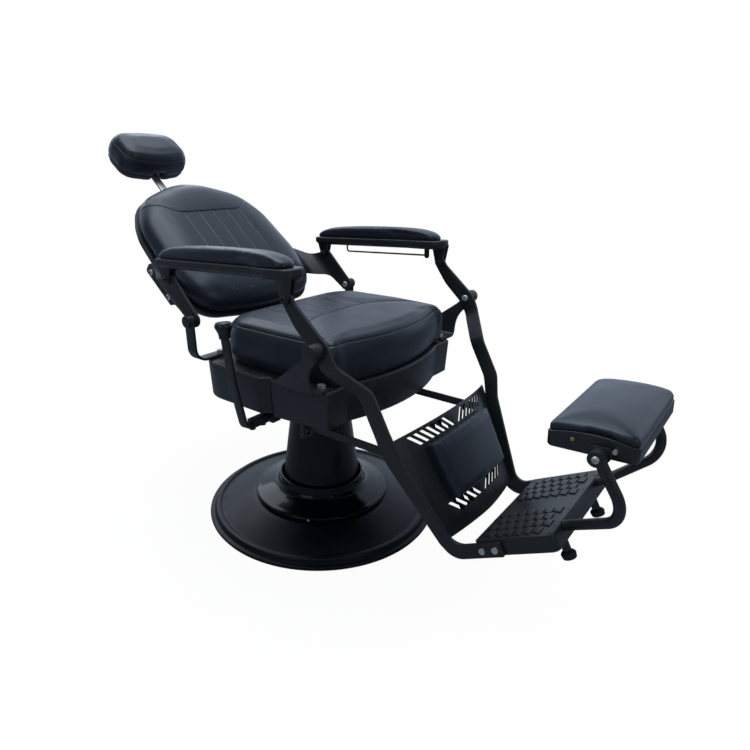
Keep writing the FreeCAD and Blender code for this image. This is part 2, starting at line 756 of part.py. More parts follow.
def lock_bar_guides():
    """Two loops under the seat box that the lock bars run through."""
    z = SEAT_BOX_BOTTOM_Z
    lock_z = leg_point(LOCK_PIN_BACK, -LOCK_PIN_DROP).z
    window_low = lock_z - GUIDE_WINDOW_H / 2
    low = window_low - GUIDE_WALL
    half = GUIDE_HALF_W
    slot = LOCK_T / 2 + 2.0
    loop = Part.makeBox(2 * half, GUIDE_T, z - low, V(LOCK_X - half, GUIDE_Y - GUIDE_T / 2, low))
    window = Part.makeBox(2 * slot, GUIDE_T, GUIDE_WINDOW_H, V(LOCK_X - slot, GUIDE_Y - GUIDE_T / 2, window_low))
    return pair(loop.cut(window))


# Back

def back_plan():
    """Plan of the back: broad at the hips, round shoulders and a soft apex."""
    return both_sides([(0, BACK_BOTTOM, 600), (BACK_HALF_W - 30, BACK_CORNER, 90), (BACK_HALF_W, BACK_WAIST, 200),
                       (BACK_HALF_W - 14, BACK_SHOULDER, 150), (BACK_CROWN_HALF_W, BACK_CROWN, 130),
                       (0, BACK_APEX, 220)])


def back_shell():
    """Rigid dished shell behind the back cushion, with a flat seat for a wing on each side."""
    front = -BACK_CUSHION_T
    rim = -BACK_SHELL_RIM
    rear = front - BACK_SHELL_T
    body = padded(back_plan(), [(rear, 16), (rear + 8, 4), (front - 5, rim), (front, rim)])
    seat = Part.makeBox(60, WING_BAR_HIGH - WING_BAR_LOW, BACK_SHELL_T - 10,
                        V(WING_SEAT_X - 60, WING_BAR_LOW, rear + 8))
    return on_back(body.fuse([seat, mirrored(seat)]).removeSplitter())


def back_cushion():
    """Crowned back cushion with sewn channels below a cross seam."""
    t = BACK_CUSHION_T
    levels = [(-t, 5), (-0.82 * t, 0), (-0.55 * t, 1), (-0.28 * t, 16), (-0.1 * t, 44), (-0.03 * t, 72), (0, 102)]
    body = padded(back_plan(), levels)
    span = (CHANNEL_COUNT - 1) * CHANNEL_PITCH / 2
    low = BACK_BOTTOM + 100
    cutters = [groove(V(-span, BACK_SEAM, 0), V(span, BACK_SEAM, 0), 0)]
    for k in range(CHANNEL_COUNT):
        x = k * CHANNEL_PITCH - span
        cutters.append(groove(V(x, low, 0), V(x, BACK_SEAM, 0), 0))
    return on_back(body.cut(cutters))


def pivot_b_on_back():
    """Pivot B as (along, out) in the back's frame."""
    turn = math.radians(90 - BACK_RECLINE)
    along = LINK_DY * math.cos(turn) + LINK_DZ * math.sin(turn)
    out = LINK_DZ * math.cos(turn) - LINK_DY * math.sin(turn)
    return along, out


def wing_side():
    """Side outline of a wing as (along, out): pivots A and B and the bar bolted to the back."""
    b_along, b_out = pivot_b_on_back()
    rear = wing_bar_out() - WING_BAR_W / 2
    bar = rear + WING_BAR_W
    a = WING_A_R
    b = WING_B_R
    return [(-a, -a, a - 0.5), (b_along * 0.5, -0.3 * a - 18, 60), (WING_BAR_LOW, bar, 16), (WING_BAR_LOW, rear, 8),
            (WING_BAR_HIGH, rear, 8), (WING_BAR_HIGH, bar, 12), (b_along + 40, -34, 60),
            (b_along + b, b_out - b + 2, b - 2), (b_along + b, b_out + b, b - 2), (b_along - b, b_out + b, 20),
            (-a, a, a - 0.5)]


def wing():
    """Bent plate from the back's side out to pivots A and B (sitter's left)."""
    inner = WING_SEAT_X + BLADE_T / 2
    rear = -BACK_CUSHION_T - BACK_SHELL_T - 10
    path = [(inner, rear, 0), (inner, -56, 30), (BLADE_X, -WING_BEND_OUT, 30), (BLADE_X, 60, 0)]
    sheet = prism(strip_corners(path, BLADE_T), "XZ", -60, WING_BAR_HIGH + 10)
    plate = sheet.common(prism(wing_side(), "YZ", inner - BLADE_T, BLADE_OUT + 1))
    b_along, b_out = pivot_b_on_back()
    reach = V(BLADE_OUT + 1, 0, 0)
    holes = [rod(V(BLADE_IN - 1, 0, 0), reach, PIVOT_BOLT_R + RUN_FIT),
             rod(V(BLADE_IN - 1, b_along, b_out), reach + V(0, b_along, b_out), ARM_BOLT_R + RUN_FIT)]
    for along, out in wing_bolt_places():
        holes.append(rod(V(inner - BLADE_T, along, out), V(inner + BLADE_T, along, out), WING_BOLT_R + 0.2))
    return on_back(plate.cut(holes).removeSplitter())


def wing_bolt_places():
    """Places along the wing's bar of the two bolts that hold it."""
    return [(WING_BAR_LOW + 21, wing_bar_out()), (WING_BAR_HIGH - 21, wing_bar_out())]


def wing_bar_out():
    """Middle of the wing's bar, square to the back."""
    return -BACK_CUSHION_T - BACK_SHELL_T / 2 + 4


def wing_bolts():
    """Four bolts that hold the wings on the back's sides."""
    seat = WING_SEAT_X + BLADE_T
    bolts = []
    for along, out in wing_bolt_places():
        bolt = bolt_x(seat, seat - BLADE_T, along, out, WING_BOLT_R, WING_BOLT_HEAD_R, WING_BOLT_HEAD_H)
        bolts += [on_back(bolt), on_back(mirrored(bolt))]
    return Part.Compound(bolts)


def headrest_socket():
    """Sleeve on the shell's rear face that the headrest bar slides in."""
    half = HEADREST_BAR_W / 2
    rear = -BACK_CUSHION_T - BACK_SHELL_T
    slot_low = HEADREST_BAR_OUT - HEADREST_BAR_T / 2 - RUN_FIT
    low = slot_low - SOCKET_WALL
    wide = half + SOCKET_WALL
    high = SOCKET_LOW + SOCKET_L
    body = prism([(wide, SOCKET_LOW, 4), (wide, high, 4), (-wide, high, 4), (-wide, SOCKET_LOW, 4)], "XY", low, rear)
    slot = Part.makeBox(HEADREST_BAR_W + 2 * RUN_FIT, SOCKET_L, HEADREST_BAR_T + 2 * RUN_FIT,
                        V(-half - RUN_FIT, SOCKET_LOW, slot_low))
    return on_back(body.cut(slot))


def headrest_bar():
    """Flat steel bar with a knuckle at its top end."""
    half = HEADREST_BAR_W / 2
    thin = HEADREST_BAR_T / 2
    bar = Part.makeBox(HEADREST_BAR_W, HEADREST_ALONG - HEADREST_BAR_LOW, HEADREST_BAR_T,
                       V(-half, HEADREST_BAR_LOW, HEADREST_BAR_OUT - thin))
    axis = V(0, HEADREST_ALONG, HEADREST_BAR_OUT)
    reach = V(half, 0, 0)
    knuckle = rod(axis - reach, axis + reach, HEADREST_KNUCKLE_R)
    bore = rod(axis - reach, axis + reach, HEADREST_PIN_R + RUN_FIT)
    return on_back(bar.fuse(knuckle).cut(bore).removeSplitter())


def on_headrest(shape):
    """Shape drawn as (across, along, out) about the headrest's middle, set on the back."""
    middle = back_point(HEADREST_ALONG, HEADREST_OUT)
    return shape.rotated(V(0, 0, 0), X_AXIS, 90 - HEADREST_TILT).translated(middle)


def headrest_axis():
    """Hinge axis of the headrest as (along, out) about the headrest's middle."""
    turn = math.radians(HEADREST_TILT - BACK_RECLINE)
    offset = HEADREST_BAR_OUT - HEADREST_OUT
    return offset * math.sin(-turn), offset * math.cos(turn)


def headrest_cushion():
    """Rounded pad with a pocket behind for the hinge bracket and the bar."""
    w = HEADREST_HALF_W
    l = HEADREST_HALF_L
    t = HEADREST_T / 2
    plan = both_sides([(0, -l - 6, 260), (w, -l + 18, 46), (w, l - 4, 52), (0, l + 5, 320)])
    levels = [(-t, 20), (-0.8 * t, 7), (-0.3 * t, 0), (0.3 * t, 1), (0.66 * t, 8), (0.9 * t, 26), (t, 44)]
    half = HEADREST_POCKET_W / 2
    along = headrest_axis()[0]
    pocket = Part.makeBox(2 * half, l + 20 + along + 16, HEADREST_POCKET_D, V(-half, -l - 20, -t))
    return on_headrest(padded(plan, levels).cut(pocket))


def headrest_bracket():
    """U-shaped steel bracket in the headrest's pocket, with the hinge pin's holes."""
    half = HEADREST_POCKET_W / 2
    t = HEADREST_T / 2
    along, out = headrest_axis()
    floor = -t + HEADREST_POCKET_D
    inner = HEADREST_BAR_W / 2 + GAP
    base = Part.makeBox(2 * half, 30, HEADREST_BRACKET_T, V(-half, along - 15, floor - HEADREST_BRACKET_T))
    ears = [base]
    for side in (-1, 1):
        low_x = inner if side > 0 else -half
        ears.append(Part.makeBox(half - inner, 30, floor - out + 8, V(low_x, along - 15, out - 8)))
    body = ears[0].fuse(ears[1:])
    hole = rod(V(-half, along, out), V(half, along, out), HEADREST_PIN_R + RUN_FIT)
    return on_headrest(body.cut(hole).removeSplitter())


def headrest_pin():
    """Hinge pin of the headrest."""
    half = HEADREST_POCKET_W / 2
    along, out = headrest_axis()
    return on_headrest(rod(V(-half, along, out), V(half, along, out), HEADREST_PIN_R))


# Armrests

def on_arm(shape):
    """Armrest drawn level with its height from pivot B, tipped up at the front."""
    raised = shape.translated(V(0, 0, PIVOT_B.z))
    return raised.rotated(PIVOT_B, X_AXIS, -ARM_TILT)


def arm_point(point):
    """A point of the chair as (y, height) in the level armrest's drawing."""
    turn = math.radians(ARM_TILT)
    y = point.y - PIVOT_B.y
    z = point.z - PIVOT_B.z
    return PIVOT_B.y + y * math.cos(turn) - z * math.sin(turn), y * math.sin(turn) + z * math.cos(turn)


def arm_plan(set_in, front, rear_y):
    """Plan of an armrest that widens to a round bulb at its front."""
    rear = ARM_REAR_HALF_W - set_in
    bulb = ARM_BULB_HALF_W - set_in
    neck_y = front + ARM_BULB_L + 50
    return [(BLADE_X - bulb, front, bulb * 0.85), (BLADE_X + bulb, front, bulb * 0.85),
            (BLADE_X + bulb, front + ARM_BULB_L, 60), (BLADE_X + rear, neck_y, 60),
            (BLADE_X + rear, rear_y, 13), (BLADE_X - rear, rear_y, 13),
            (BLADE_X - rear, neck_y, 60), (BLADE_X - bulb, front + ARM_BULB_L, 60)]


def fork(plane_x, y, height):
    """Two cheeks that hang from the tray at y and hold a blade at a pivot."""
    r = FORK_EYE_R
    top = ARM_TOP - ARM_TRAY_H + 10
    wide = FORK_TOP_HALF_W
    side = [(y - r, height - r, r - 0.3), (y + r, height - r, r - 0.3), (y + r, height + 2, 20), (y + wide, top - 4, 0),
            (y + wide, top, 0), (y - wide, top, 0), (y - wide, top - 4, 0), (y - r, height + 2, 20)]
    room = BLADE_T / 2 + GAP
    inner = prism(side, "YZ", plane_x - room - FORK_CHEEK_T, plane_x - room)
    outer = prism(side, "YZ", plane_x + room, plane_x + room + FORK_CHEEK_T)
    return inner, outer


def armrest_tray(trigger):
    """Bevelled tray with a fork at each end; with the trigger's tab and hole if asked (sitter's left)."""
    top = ARM_TOP
    levels = [(top - ARM_TRAY_H, 9), (top - 0.6 * ARM_TRAY_H, 0), (top - 2, 0), (top, 2)]
    body = padded(arm_plan(0, ARM_FRONT_Y, ARM_REAR_Y), levels)
    cheeks = []
    holes = []
    for plane_x, point in ((BLADE_X, PIVOT_B), (STRAP_X, PIVOT_C)):
        y, height = arm_point(point)
        cheeks += fork(plane_x, y, height)
        holes.append(rod(V(BLADE_X - 40, y, height), V(BLADE_X + 40, y, height), ARM_BOLT_R + RUN_FIT))
    if trigger:
        y, height = trigger_axis()
        under = top - ARM_TRAY_H
        tab_x = BLADE_X - 12
        r = TRIGGER_TAB_R
        side = [(y - r, height - r, r - 0.2), (y + r, height - r, r - 0.2), (y + r, under + 4, 0),
                (y - r, under + 4, 0)]
        cheeks.append(prism(side, "YZ", tab_x, tab_x + TRIGGER_TAB_T))
        holes.append(rod(V(tab_x - 1, y, height), V(tab_x + TRIGGER_TAB_T + 1, y, height), WIRE_R + RUN_FIT))
        hole_y = TRIGGER_REAR_Y
        holes.append(rod(V(BLADE_X, hole_y, under - 1), V(BLADE_X, hole_y, top - 4), 2 * WIRE_R + 1))
    return on_arm(body.fuse(cheeks).cut(holes).removeSplitter())


def armrest_pad():
    """Crowned pad on the armrest's tray (sitter's left)."""
    front = ARM_FRONT_Y + ARM_PAD_FRONT_STEP
    rear = ARM_REAR_Y - 2 * ARM_PAD_SET_IN
    wires = []
    for share, depth, ends in ((0, 3, 0), (0.22, 0, 0), (0.5, 1, 6), (0.75, 4, 18), (0.92, 8, 38), (1, 12, 62)):
        plan = arm_plan(ARM_PAD_SET_IN + depth, front + depth + ends, rear - depth - ends)
        wires.append(outline(plan, "XY", ARM_TOP + share * ARM_PAD_H))
    return on_arm(Part.makeLoft(wires, True, True))


def arm_bolts():
    """The two bolts through an armrest's forks, with a head at each end (sitter's left)."""
    bolts = []
    reach = BLADE_T / 2 + GAP + FORK_CHEEK_T
    for plane_x, point in ((BLADE_X, PIVOT_B), (STRAP_X, PIVOT_C)):
        out = plane_x + reach
        inn = plane_x - reach
        bolt = bolt_x(out, inn, point.y, point.z, ARM_BOLT_R, ARM_HEAD_R, ARM_HEAD_H)
        nut = rod(V(inn, point.y, point.z), V(inn - ARM_HEAD_H, point.y, point.z), ARM_HEAD_R)
        bolts.append(bolt.fuse(nut).removeSplitter())
    return Part.Compound(bolts)


def trigger_axis():
    """Hinge of the trigger as (y, height) in the level armrest's drawing."""
    return TRIGGER_FRONT_Y, ARM_TOP - ARM_TRAY_H - TRIGGER_DROP + WIRE_R


def recline_trigger():
    """Bent wire under the left armrest: a leg into the tray, a long run and a hinge end."""
    y, height = trigger_axis()
    under = ARM_TOP - ARM_TRAY_H
    path = [(V(BLADE_X, TRIGGER_REAR_Y, under + 5), 0), (V(BLADE_X, TRIGGER_REAR_Y, height), 7),
            (V(BLADE_X, y, height), 6), (V(BLADE_X - 15, y, height), 0)]
    return on_arm(bent_tube(path, WIRE_R))


# Legrest

def strap_x(drop):
    """Middle of the strap across the chair, beside the panel, at a drop below D."""
    share = (drop - STRAP_TAPER_TOP) / (STRAP_STRAIGHT_LOW - STRAP_TAPER_TOP)
    return STRAP_PANEL_X + (STRAP_FOOT_X - STRAP_PANEL_X) * share


def strap_inner_x(drop):
    """Inner face of the strap across the chair at a drop below D."""
    slope = (STRAP_PANEL_X - STRAP_FOOT_X) / (STRAP_STRAIGHT_LOW - STRAP_TAPER_TOP)
    return strap_x(drop) - BLADE_T / 2 * math.hypot(1, slope)


def pivot_c_on_leg():
    """Pivot C as (y, z) in the upright leg's frame."""
    turn = math.radians(LEG_SWING)
    return (LINK_DY * math.cos(turn) - LINK_DZ * math.sin(turn),
            LINK_DY * math.sin(turn) + LINK_DZ * math.cos(turn))


def tab_middle():
    """Height of the strap's foot tab in the upright leg's frame."""
    return -PLATE_DROP - STRAP_TAB_W / 2 - 4


def leg_strap():
    """Flat bar from pivot C past pivot D, jogged in beside the panel and bent forward below (left)."""
    c_y, c_z = pivot_c_on_leg()
    low = tab_middle() - STRAP_TAB_W / 2
    high = low + STRAP_TAB_W
    d = STRAP_D_R
    c = STRAP_C_R
    path = [(STRAP_X, c_z + 30, 0), (STRAP_X, -STRAP_JOG_TOP, 40), (STRAP_PANEL_X, -STRAP_JOG_LOW, 40),
            (STRAP_PANEL_X, -STRAP_TAPER_TOP, 120), (STRAP_FOOT_X, -STRAP_STRAIGHT_LOW, 30),
            (STRAP_FOOT_X, low - 10, 0)]
    sheet = prism(strip_corners(path, BLADE_T), "XZ", -STRAP_TAB_L - 10, c_y + 40)
    bow = STRAP_BOW
    rear = STRAP_REAR
    front = STRAP_FRONT
    elbow = -STRAP_TAPER_TOP
    side = [(-STRAP_TAB_L, low, 4), (rear, low, STRAP_BEND_R), (rear, elbow - 50, 60), (rear - bow + 3, elbow + 10, 60),
            (rear - bow + 3, -STRAP_JOG_LOW, 60), (rear + 3, -2.7 * d, 50), (d, 0, 25),
            (c_y * 0.75 + 16, c_z * 0.5, 120), (c_y + c, c_z - 12, 30), (c_y + c, c_z + c, c - 1),
            (c_y - c, c_z + c, c - 1), (c_y - c, c_z - 14, 40), (-0.1 * d, 0.42 * c_z, 120),
            (front - 2, 0, 40), (front, -2.5 * d, 50), (front - bow, -STRAP_JOG_LOW + 4, 60), (front - bow, elbow, 60),
            (front, elbow - 55, 60), (front, high, 28), (-STRAP_TAB_L, high, 4)]
    strap = sheet.common(prism(side, "YZ", STRAP_FOOT_X - 40, STRAP_X + 20))
    near = STRAP_X - BLADE_T
    far = STRAP_X + BLADE_T
    holes = [rod(V(near, 0, 0), V(far, 0, 0), PIVOT_BOLT_R + RUN_FIT),
             rod(V(near, c_y, c_z), V(far, c_y, c_z), ARM_BOLT_R + RUN_FIT)]
    return on_leg(strap.cut(holes).removeSplitter())


def strap_bolts():
    """Four bolts that hold the straps' tabs on the footplate's sides."""
    seat = STRAP_FOOT_X + BLADE_T / 2
    bolts = []
    for reach in STRAP_BOLT_REACH:
        head = rod(V(seat, -reach, tab_middle()), V(seat + STRAP_BOLT_H, -reach, tab_middle()), STRAP_BOLT_R)
        bolts += [on_leg(head), on_leg(mirrored(head))]
    return Part.Compound(bolts)


def panel_radius():
    """Bend radius of the leg panel."""
    half = strap_inner_x(PANEL_TOP)
    return (half * half + PANEL_BULGE * PANEL_BULGE) / (2 * PANEL_BULGE)


def panel_front(x):
    """How far the panel's middle surface stands in front of the leg's plane at x."""
    radius = panel_radius()
    return PANEL_BULGE - PANEL_SET_BACK - radius + math.sqrt(radius * radius - x * x)


def panel_cylinder(low, high, offset):
    """Cylinder about the panel's bend axis whose front is offset from the panel's middle surface."""
    centre = V(0, panel_radius() - panel_front(0), low)
    return Part.makeCylinder(panel_radius() + offset, high - low, centre)


def curved_slab(low, high, half, back, front):
    """Bowed slab between two offsets from the panel's middle surface."""
    window = Part.makeBox(2 * half, 2 * half, high - low, V(-half, -2 * half + PANEL_BULGE, low))
    return panel_cylinder(low, high, front).cut(panel_cylinder(low, high, back)).common(window)


def slot_cutters(top, count):
    """Row of leaning slots, mirrored about the middle, whose upper ends are at top."""
    cutters = []
    for k in range(count):
        x = SLOT_PITCH * (k + 0.35)
        slot = prism([(x, top - SLOT_H, 0), (x + SLOT_W, top - SLOT_H, 0), (x + SLOT_W + SLOT_LEAN, top, 0),
                      (x + SLOT_LEAN, top, 0)], "XZ", -80, 40)
        cutters += [slot, mirrored(slot)]
    return cutters


def leg_panel():
    """Bowed sheet between the straps with a row of slots above and below the calf pad."""
    half = strap_inner_x(PANEL_TOP)
    low_half = strap_inner_x(PANEL_LOW)
    low = -PANEL_LOW - PANEL_SAG
    sheet = curved_slab(low - PANEL_SAG, -PANEL_TOP, half + 1, -PANEL_T / 2, PANEL_T / 2)
    shape = prism([(0, low - PANEL_SAG, 900), (low_half, -PANEL_LOW, 0), (half, -PANEL_TOP, 0),
                   (-half, -PANEL_TOP, 0), (-low_half, -PANEL_LOW, 0)], "XZ", -100, 60)
    sheet = sheet.common(shape)
    cutters = slot_cutters(-PANEL_TOP - SLOT_TOP_MARGIN + SLOT_H / 2, SLOT_TOP_COUNT)
    cutters += slot_cutters(-PANEL_LOW + SLOT_LOW_MARGIN + SLOT_H / 2, SLOT_LOW_COUNT)
    return sheet.cut(cutters)


def calf_pad():
    """Crowned pad on the panel's front between the rows of slots."""
    middle = -(PANEL_TOP + PANEL_LOW) / 2
    half_h = CALF_PAD_H / 2
    w = CALF_PAD_HALF_W
    low_w = w - CALF_PAD_TAPER
    plan = [(low_w, -half_h, 12), (w, half_h, 12), (-w, half_h, 12), (-low_w, -half_h, 12)]
    rear = panel_front(w) - 20
    face = panel_front(0) + CALF_PAD_T
    levels = [(rear, 0), (face - 0.7 * CALF_PAD_T, 0), (face - 0.3 * CALF_PAD_T, 5), (face - 3, 18), (face, 36)]
    block = padded(plan, levels).rotated(V(0, 0, 0), X_AXIS, 90).translated(V(0, 0, middle))
    return on_leg(block.cut(panel_cylinder(middle - half_h - 1, middle + half_h + 1, PANEL_T / 2)))


def lock_bar_lugs():
    """Two clevises on the panel's rear face that hold the lock bars' pins."""
    back = LOCK_PIN_BACK
    drop = -LOCK_PIN_DROP
    r = LOCK_W / 2
    side = [(-panel_front(LOCK_X) - 20, drop - r, 0), (back + r, drop - r, r - 0.2), (back + r, drop + r, r - 0.2),
            (-panel_front(LOCK_X) - 20, drop + r, 0)]
    inner = LOCK_X - LOCK_T / 2 - GAP
    outer = LOCK_X + LOCK_T / 2 + GAP
    hole = rod(V(inner - LOCK_LUG_T, back, drop), V(outer + LOCK_LUG_T, back, drop), LOCK_PIN_R + RUN_FIT)
    ahead = curved_slab(drop - 2 * r, drop + 2 * r, strap_inner_x(PANEL_TOP) + 1, -PANEL_T / 2, 60)
    lugs = []
    for low in (inner - LOCK_LUG_T, outer):
        lug = prism(side, "YZ", low, low + LOCK_LUG_T).cut([hole, ahead])
        lugs += [on_leg(lug), on_leg(mirrored(lug))]
    return Part.Compound(lugs)


def lock_bar_pins():
    """Pins of the lock bars in their clevises."""
    inner = LOCK_X - LOCK_T / 2 - GAP - LOCK_LUG_T
    outer = LOCK_X + LOCK_T / 2 + GAP + LOCK_LUG_T
    pin = rod(V(inner, LOCK_PIN_BACK, -LOCK_PIN_DROP), V(outer, LOCK_PIN_BACK, -LOCK_PIN_DROP), LOCK_PIN_R)
    return Part.Compound([on_leg(pin), on_leg(mirrored(pin))])


def lock_bars():
    """Two flat bars from the leg's clevises back through the guides."""
    pin = leg_point(LOCK_PIN_BACK, -LOCK_PIN_DROP)
    r = LOCK_W / 2
    side = [(pin.y - r, pin.z - r, r - 0.2), (pin.y + LOCK_L, pin.z - r, 4), (pin.y + LOCK_L, pin.z + r, 4),
            (pin.y - r, pin.z + r, r - 0.2)]
    low = LOCK_X - LOCK_T / 2
    high = LOCK_X + LOCK_T / 2
    bar = prism(side, "YZ", low, high)
    return pair(bar.cut(rod(V(low, pin.y, pin.z), V(high, pin.y, pin.z), LOCK_PIN_R + RUN_FIT)))


def plate_half_w():
    """Half the footplate's width, between the straps' tabs."""
    return STRAP_FOOT_X - BLADE_T / 2


def tread_bars(top):
    """Leaning raised bars in staggered rows, with a plain strip left free in the middle."""
    half = plate_half_w()
    row_pitch = (PLATE_DEPTH - 24) / TREAD_ROWS
    pitch = 2 * (half - 14) / TREAD_COLUMNS
    bar_w = 0.62 * pitch
    bar_l = 0.72 * row_pitch
    lean = 0.3 * row_pitch
    bars = []
    for row in range(TREAD_ROWS):
        y = -PLATE_REAR - 12 - (row + 1) * row_pitch + 0.14 * row_pitch
        for column in range(TREAD_COLUMNS):
            x = -half + 14 + pitch * (column + 0.12)
            plain = abs(x + pitch / 2) < 1.05 * pitch
            if plain:
                continue
            bars.append(prism([(x, y, 0), (x + bar_w, y, 0), (x + bar_w + lean * 0.5, y + bar_l, 0),
                               (x + lean * 0.5, y + bar_l, 0)], "XY", top, top + TREAD_H))
    return bars


def footplate():
    """Cast tread plate with a skirt, two ribs below and raised bars above."""
    half = plate_half_w()
    front = -PLATE_REAR - PLATE_DEPTH
    top = -PLATE_DROP
    plan = [(-half, front, 14), (half, front, 14), (half, -PLATE_REAR, 5), (-half, -PLATE_REAR, 5)]
    low = top - PLATE_SKIRT_H
    body = prism(plan, "XY", low, top)
    hollow = prism(inset(plan, PLATE_WALL), "XY", low, top - PLATE_T)
    rib_x = half / 3
    ribs = []
    for x in (-rib_x, rib_x):
        ribs.append(Part.makeBox(PLATE_WALL, PLATE_DEPTH, PLATE_SKIRT_H - PLATE_T, V(x - PLATE_WALL / 2, front, low)))
    hollow = hollow.cut(ribs)
    plate = body.cut(hollow)
    boss_half = TUBE_R + 3
    boss_t = FOOT_SET_BACK - FOOT_RUBBER_R - FOOT_CLEAR
    boss_low = min(top - 2 * TUBE_R, -TUBE_DROP - TUBE_R)
    boss_high = max(top, -TUBE_DROP + TUBE_R - 1)
    bosses = [Part.makeBox(2 * boss_half, boss_t, boss_high - boss_low, V(x - boss_half, front, boss_low))
              for x in (-TUBE_PLATE_X, TUBE_PLATE_X)]
    return on_leg(plate.fuse(bosses + tread_bars(top)).removeSplitter())


def foot_rods():
    """Two short rods under the footplate's front edge."""
    y = -PLATE_REAR - PLATE_DEPTH + FOOT_SET_BACK
    top = -PLATE_DROP - PLATE_T
    rods = [rod(V(x, y, top), V(x, y, top - FOOT_ROD_L), FOOT_ROD_R) for x in (-FOOT_X, FOOT_X)]
    return Part.Compound([on_leg(r) for r in rods])


def rubber_feet():
    """Mushroom-shaped rubber feet on the rods."""
    y = -PLATE_REAR - PLATE_DEPTH + FOOT_SET_BACK
    top = -PLATE_DROP - PLATE_T - FOOT_ROD_L
    low = top - FOOT_RUBBER_H
    foot = turned([(0, low, 0), (FOOT_RUBBER_R - 2, low, 0), (FOOT_RUBBER_R, top - 5, 4), (FOOT_ROD_R + 2, top, 0),
                   (0, top, 0)])
    return Part.Compound([on_leg(foot.translated(V(x, y, 0))) for x in (-FOOT_X, FOOT_X)])


def tube_path(side):
    """Bends of a pad tube: out from the plate's front, splayed and turned up to the pad's pivot."""
    front = PLATE_REAR + PLATE_DEPTH
    return [(V(side * TUBE_PLATE_X, -front + 30, -TUBE_DROP), 0),
            (V(side * (TUBE_PLATE_X + 4), -front - 16, -TUBE_DROP + 3), 50),
            (V(side * TUBE_PAD_X, -TUBE_REACH, -TUBE_DROP + TUBE_RISE), TUBE_BEND_R),
            (V(side * TUBE_PAD_X, -PAD_PIVOT_REACH - 1, -PAD_PIVOT_DROP - PAD_EYE_R + 3), 0)]


def pad_tube():
    """C-bent tube from the plate's front to an eye for the foot pad's pivot (sitter's left)."""
    front = PLATE_REAR + PLATE_DEPTH
    behind = Part.makeBox(200, 100, 100, V(TUBE_PLATE_X - 100, -front, -TUBE_DROP - 50))
    tube = bent_tube(tube_path(1), TUBE_R).cut(behind)
    y = -PAD_PIVOT_REACH
    z = -PAD_PIVOT_DROP
    eye = rod(V(EYE_IN_X, y, z), V(EYE_IN_X + PAD_EYE_L, y, z), PAD_EYE_R)
    bore = rod(V(EYE_IN_X, y, z), V(EYE_IN_X + PAD_EYE_L, y, z), PAD_BOLT_R + RUN_FIT)
    return on_leg(tube.fuse(eye).cut(bore).removeSplitter())


# Foot pad

def on_pad(shape):
    """Shape drawn level about the foot pad's pivot, tipped up at the front."""
    pivot = leg_point(-PAD_PIVOT_REACH, -PAD_PIVOT_DROP)
    return shape.rotated(V(0, 0, 0), X_AXIS, -PAD_TILT).translated(pivot)


def pad_plan():
    """Plan of the foot pad's tray."""
    w = PAD_HALF_W
    return [(-w, -PAD_FRONT, 12), (w, -PAD_FRONT, 12), (w, PAD_REAR, 12), (-w, PAD_REAR, 12)]


def pad_arch(top, drop):
    """Round bar across the foot pad that is highest at the pad's middle and lower by drop at its ends."""
    half = (PAD_REAR + PAD_FRONT) / 2
    radius = (half ** 2 + drop ** 2) / (2 * drop)
    y = (PAD_REAR - PAD_FRONT) / 2
    z = top - radius
    return rod(V(-2 * PAD_HALF_W, y, z), V(2 * PAD_HALF_W, y, z), radius)


def foot_pad_tray():
    """Shallow board with rounded corners and arched sides under the foot cushion."""
    top = PAD_LIFT + PAD_TRAY_H
    board = padded(pad_plan(), [(PAD_LIFT, 3), (PAD_LIFT + 4, 0), (top, 0)])
    return on_pad(board.common(pad_arch(top, PAD_TRAY_ARCH)))


def foot_pad_cushion():
    """Crowned cushion on the arched top of the foot pad's tray."""
    z = PAD_LIFT + PAD_TRAY_H
    h = PAD_CUSHION_H
    levels = [(z - PAD_TRAY_ARCH - 1, 1), (z - 2, 1), (z + 0.25 * h, 3), (z + 0.5 * h, 12), (z + 0.75 * h, 28),
              (z + 0.92 * h, 46), (z + h, 66)]
    crown = padded(pad_plan(), levels).common(pad_arch(z + h, PAD_CUSHION_ARCH))
    return on_pad(crown.cut(pad_arch(z, PAD_TRAY_ARCH)))


def foot_pad_brackets():
    """Round cheek plates on the tray's sides that hang on the pivot bolts."""
    r = PAD_BRACKET_R
    high = PAD_LIFT + 0.58 * PAD_TRAY_H
    side = [(-r, -r, r - 0.3), (r, -r, r - 0.3), (r, high, 8), (-r, high, 8)]
    plate = prism(side, "YZ", PAD_HALF_W, PAD_HALF_W + PAD_BRACKET_T)
    plate = plate.cut(rod(V(PAD_HALF_W, 0, 0), V(PAD_HALF_W + PAD_BRACKET_T, 0, 0), PAD_BOLT_R + RUN_FIT))
    return Part.Compound([on_pad(plate), on_pad(mirrored(plate))])


def foot_pad_bolts():
    """Pivot bolts of the foot pad and a stop pin beside each."""
    seat = EYE_IN_X + PAD_EYE_L + GAP
    bolt = bolt_x(seat, PAD_HALF_W, 0, 0, PAD_BOLT_R, PAD_HEAD_R, ARM_HEAD_H)
    stop_y = -PAD_BRACKET_R - 5
    stop_z = PAD_LIFT + 0.5 * PAD_TRAY_H
    stop = rod(V(PAD_HALF_W, stop_y, stop_z), V(PAD_HALF_W + 9, stop_y, stop_z), 4)
    solids = []
    for piece in (bolt, stop):
        solids += [on_pad(piece), on_pad(mirrored(piece))]
    return Part.Compound(solids)


# Pump lever

def on_lever(shape):
    """Shape drawn upright about the lever's shaft, leaned back."""
    return shape.rotated(V(0, 0, 0), X_AXIS, -LEVER_LEAN).translated(V(0, LEVER_Y, LEVER_Z))


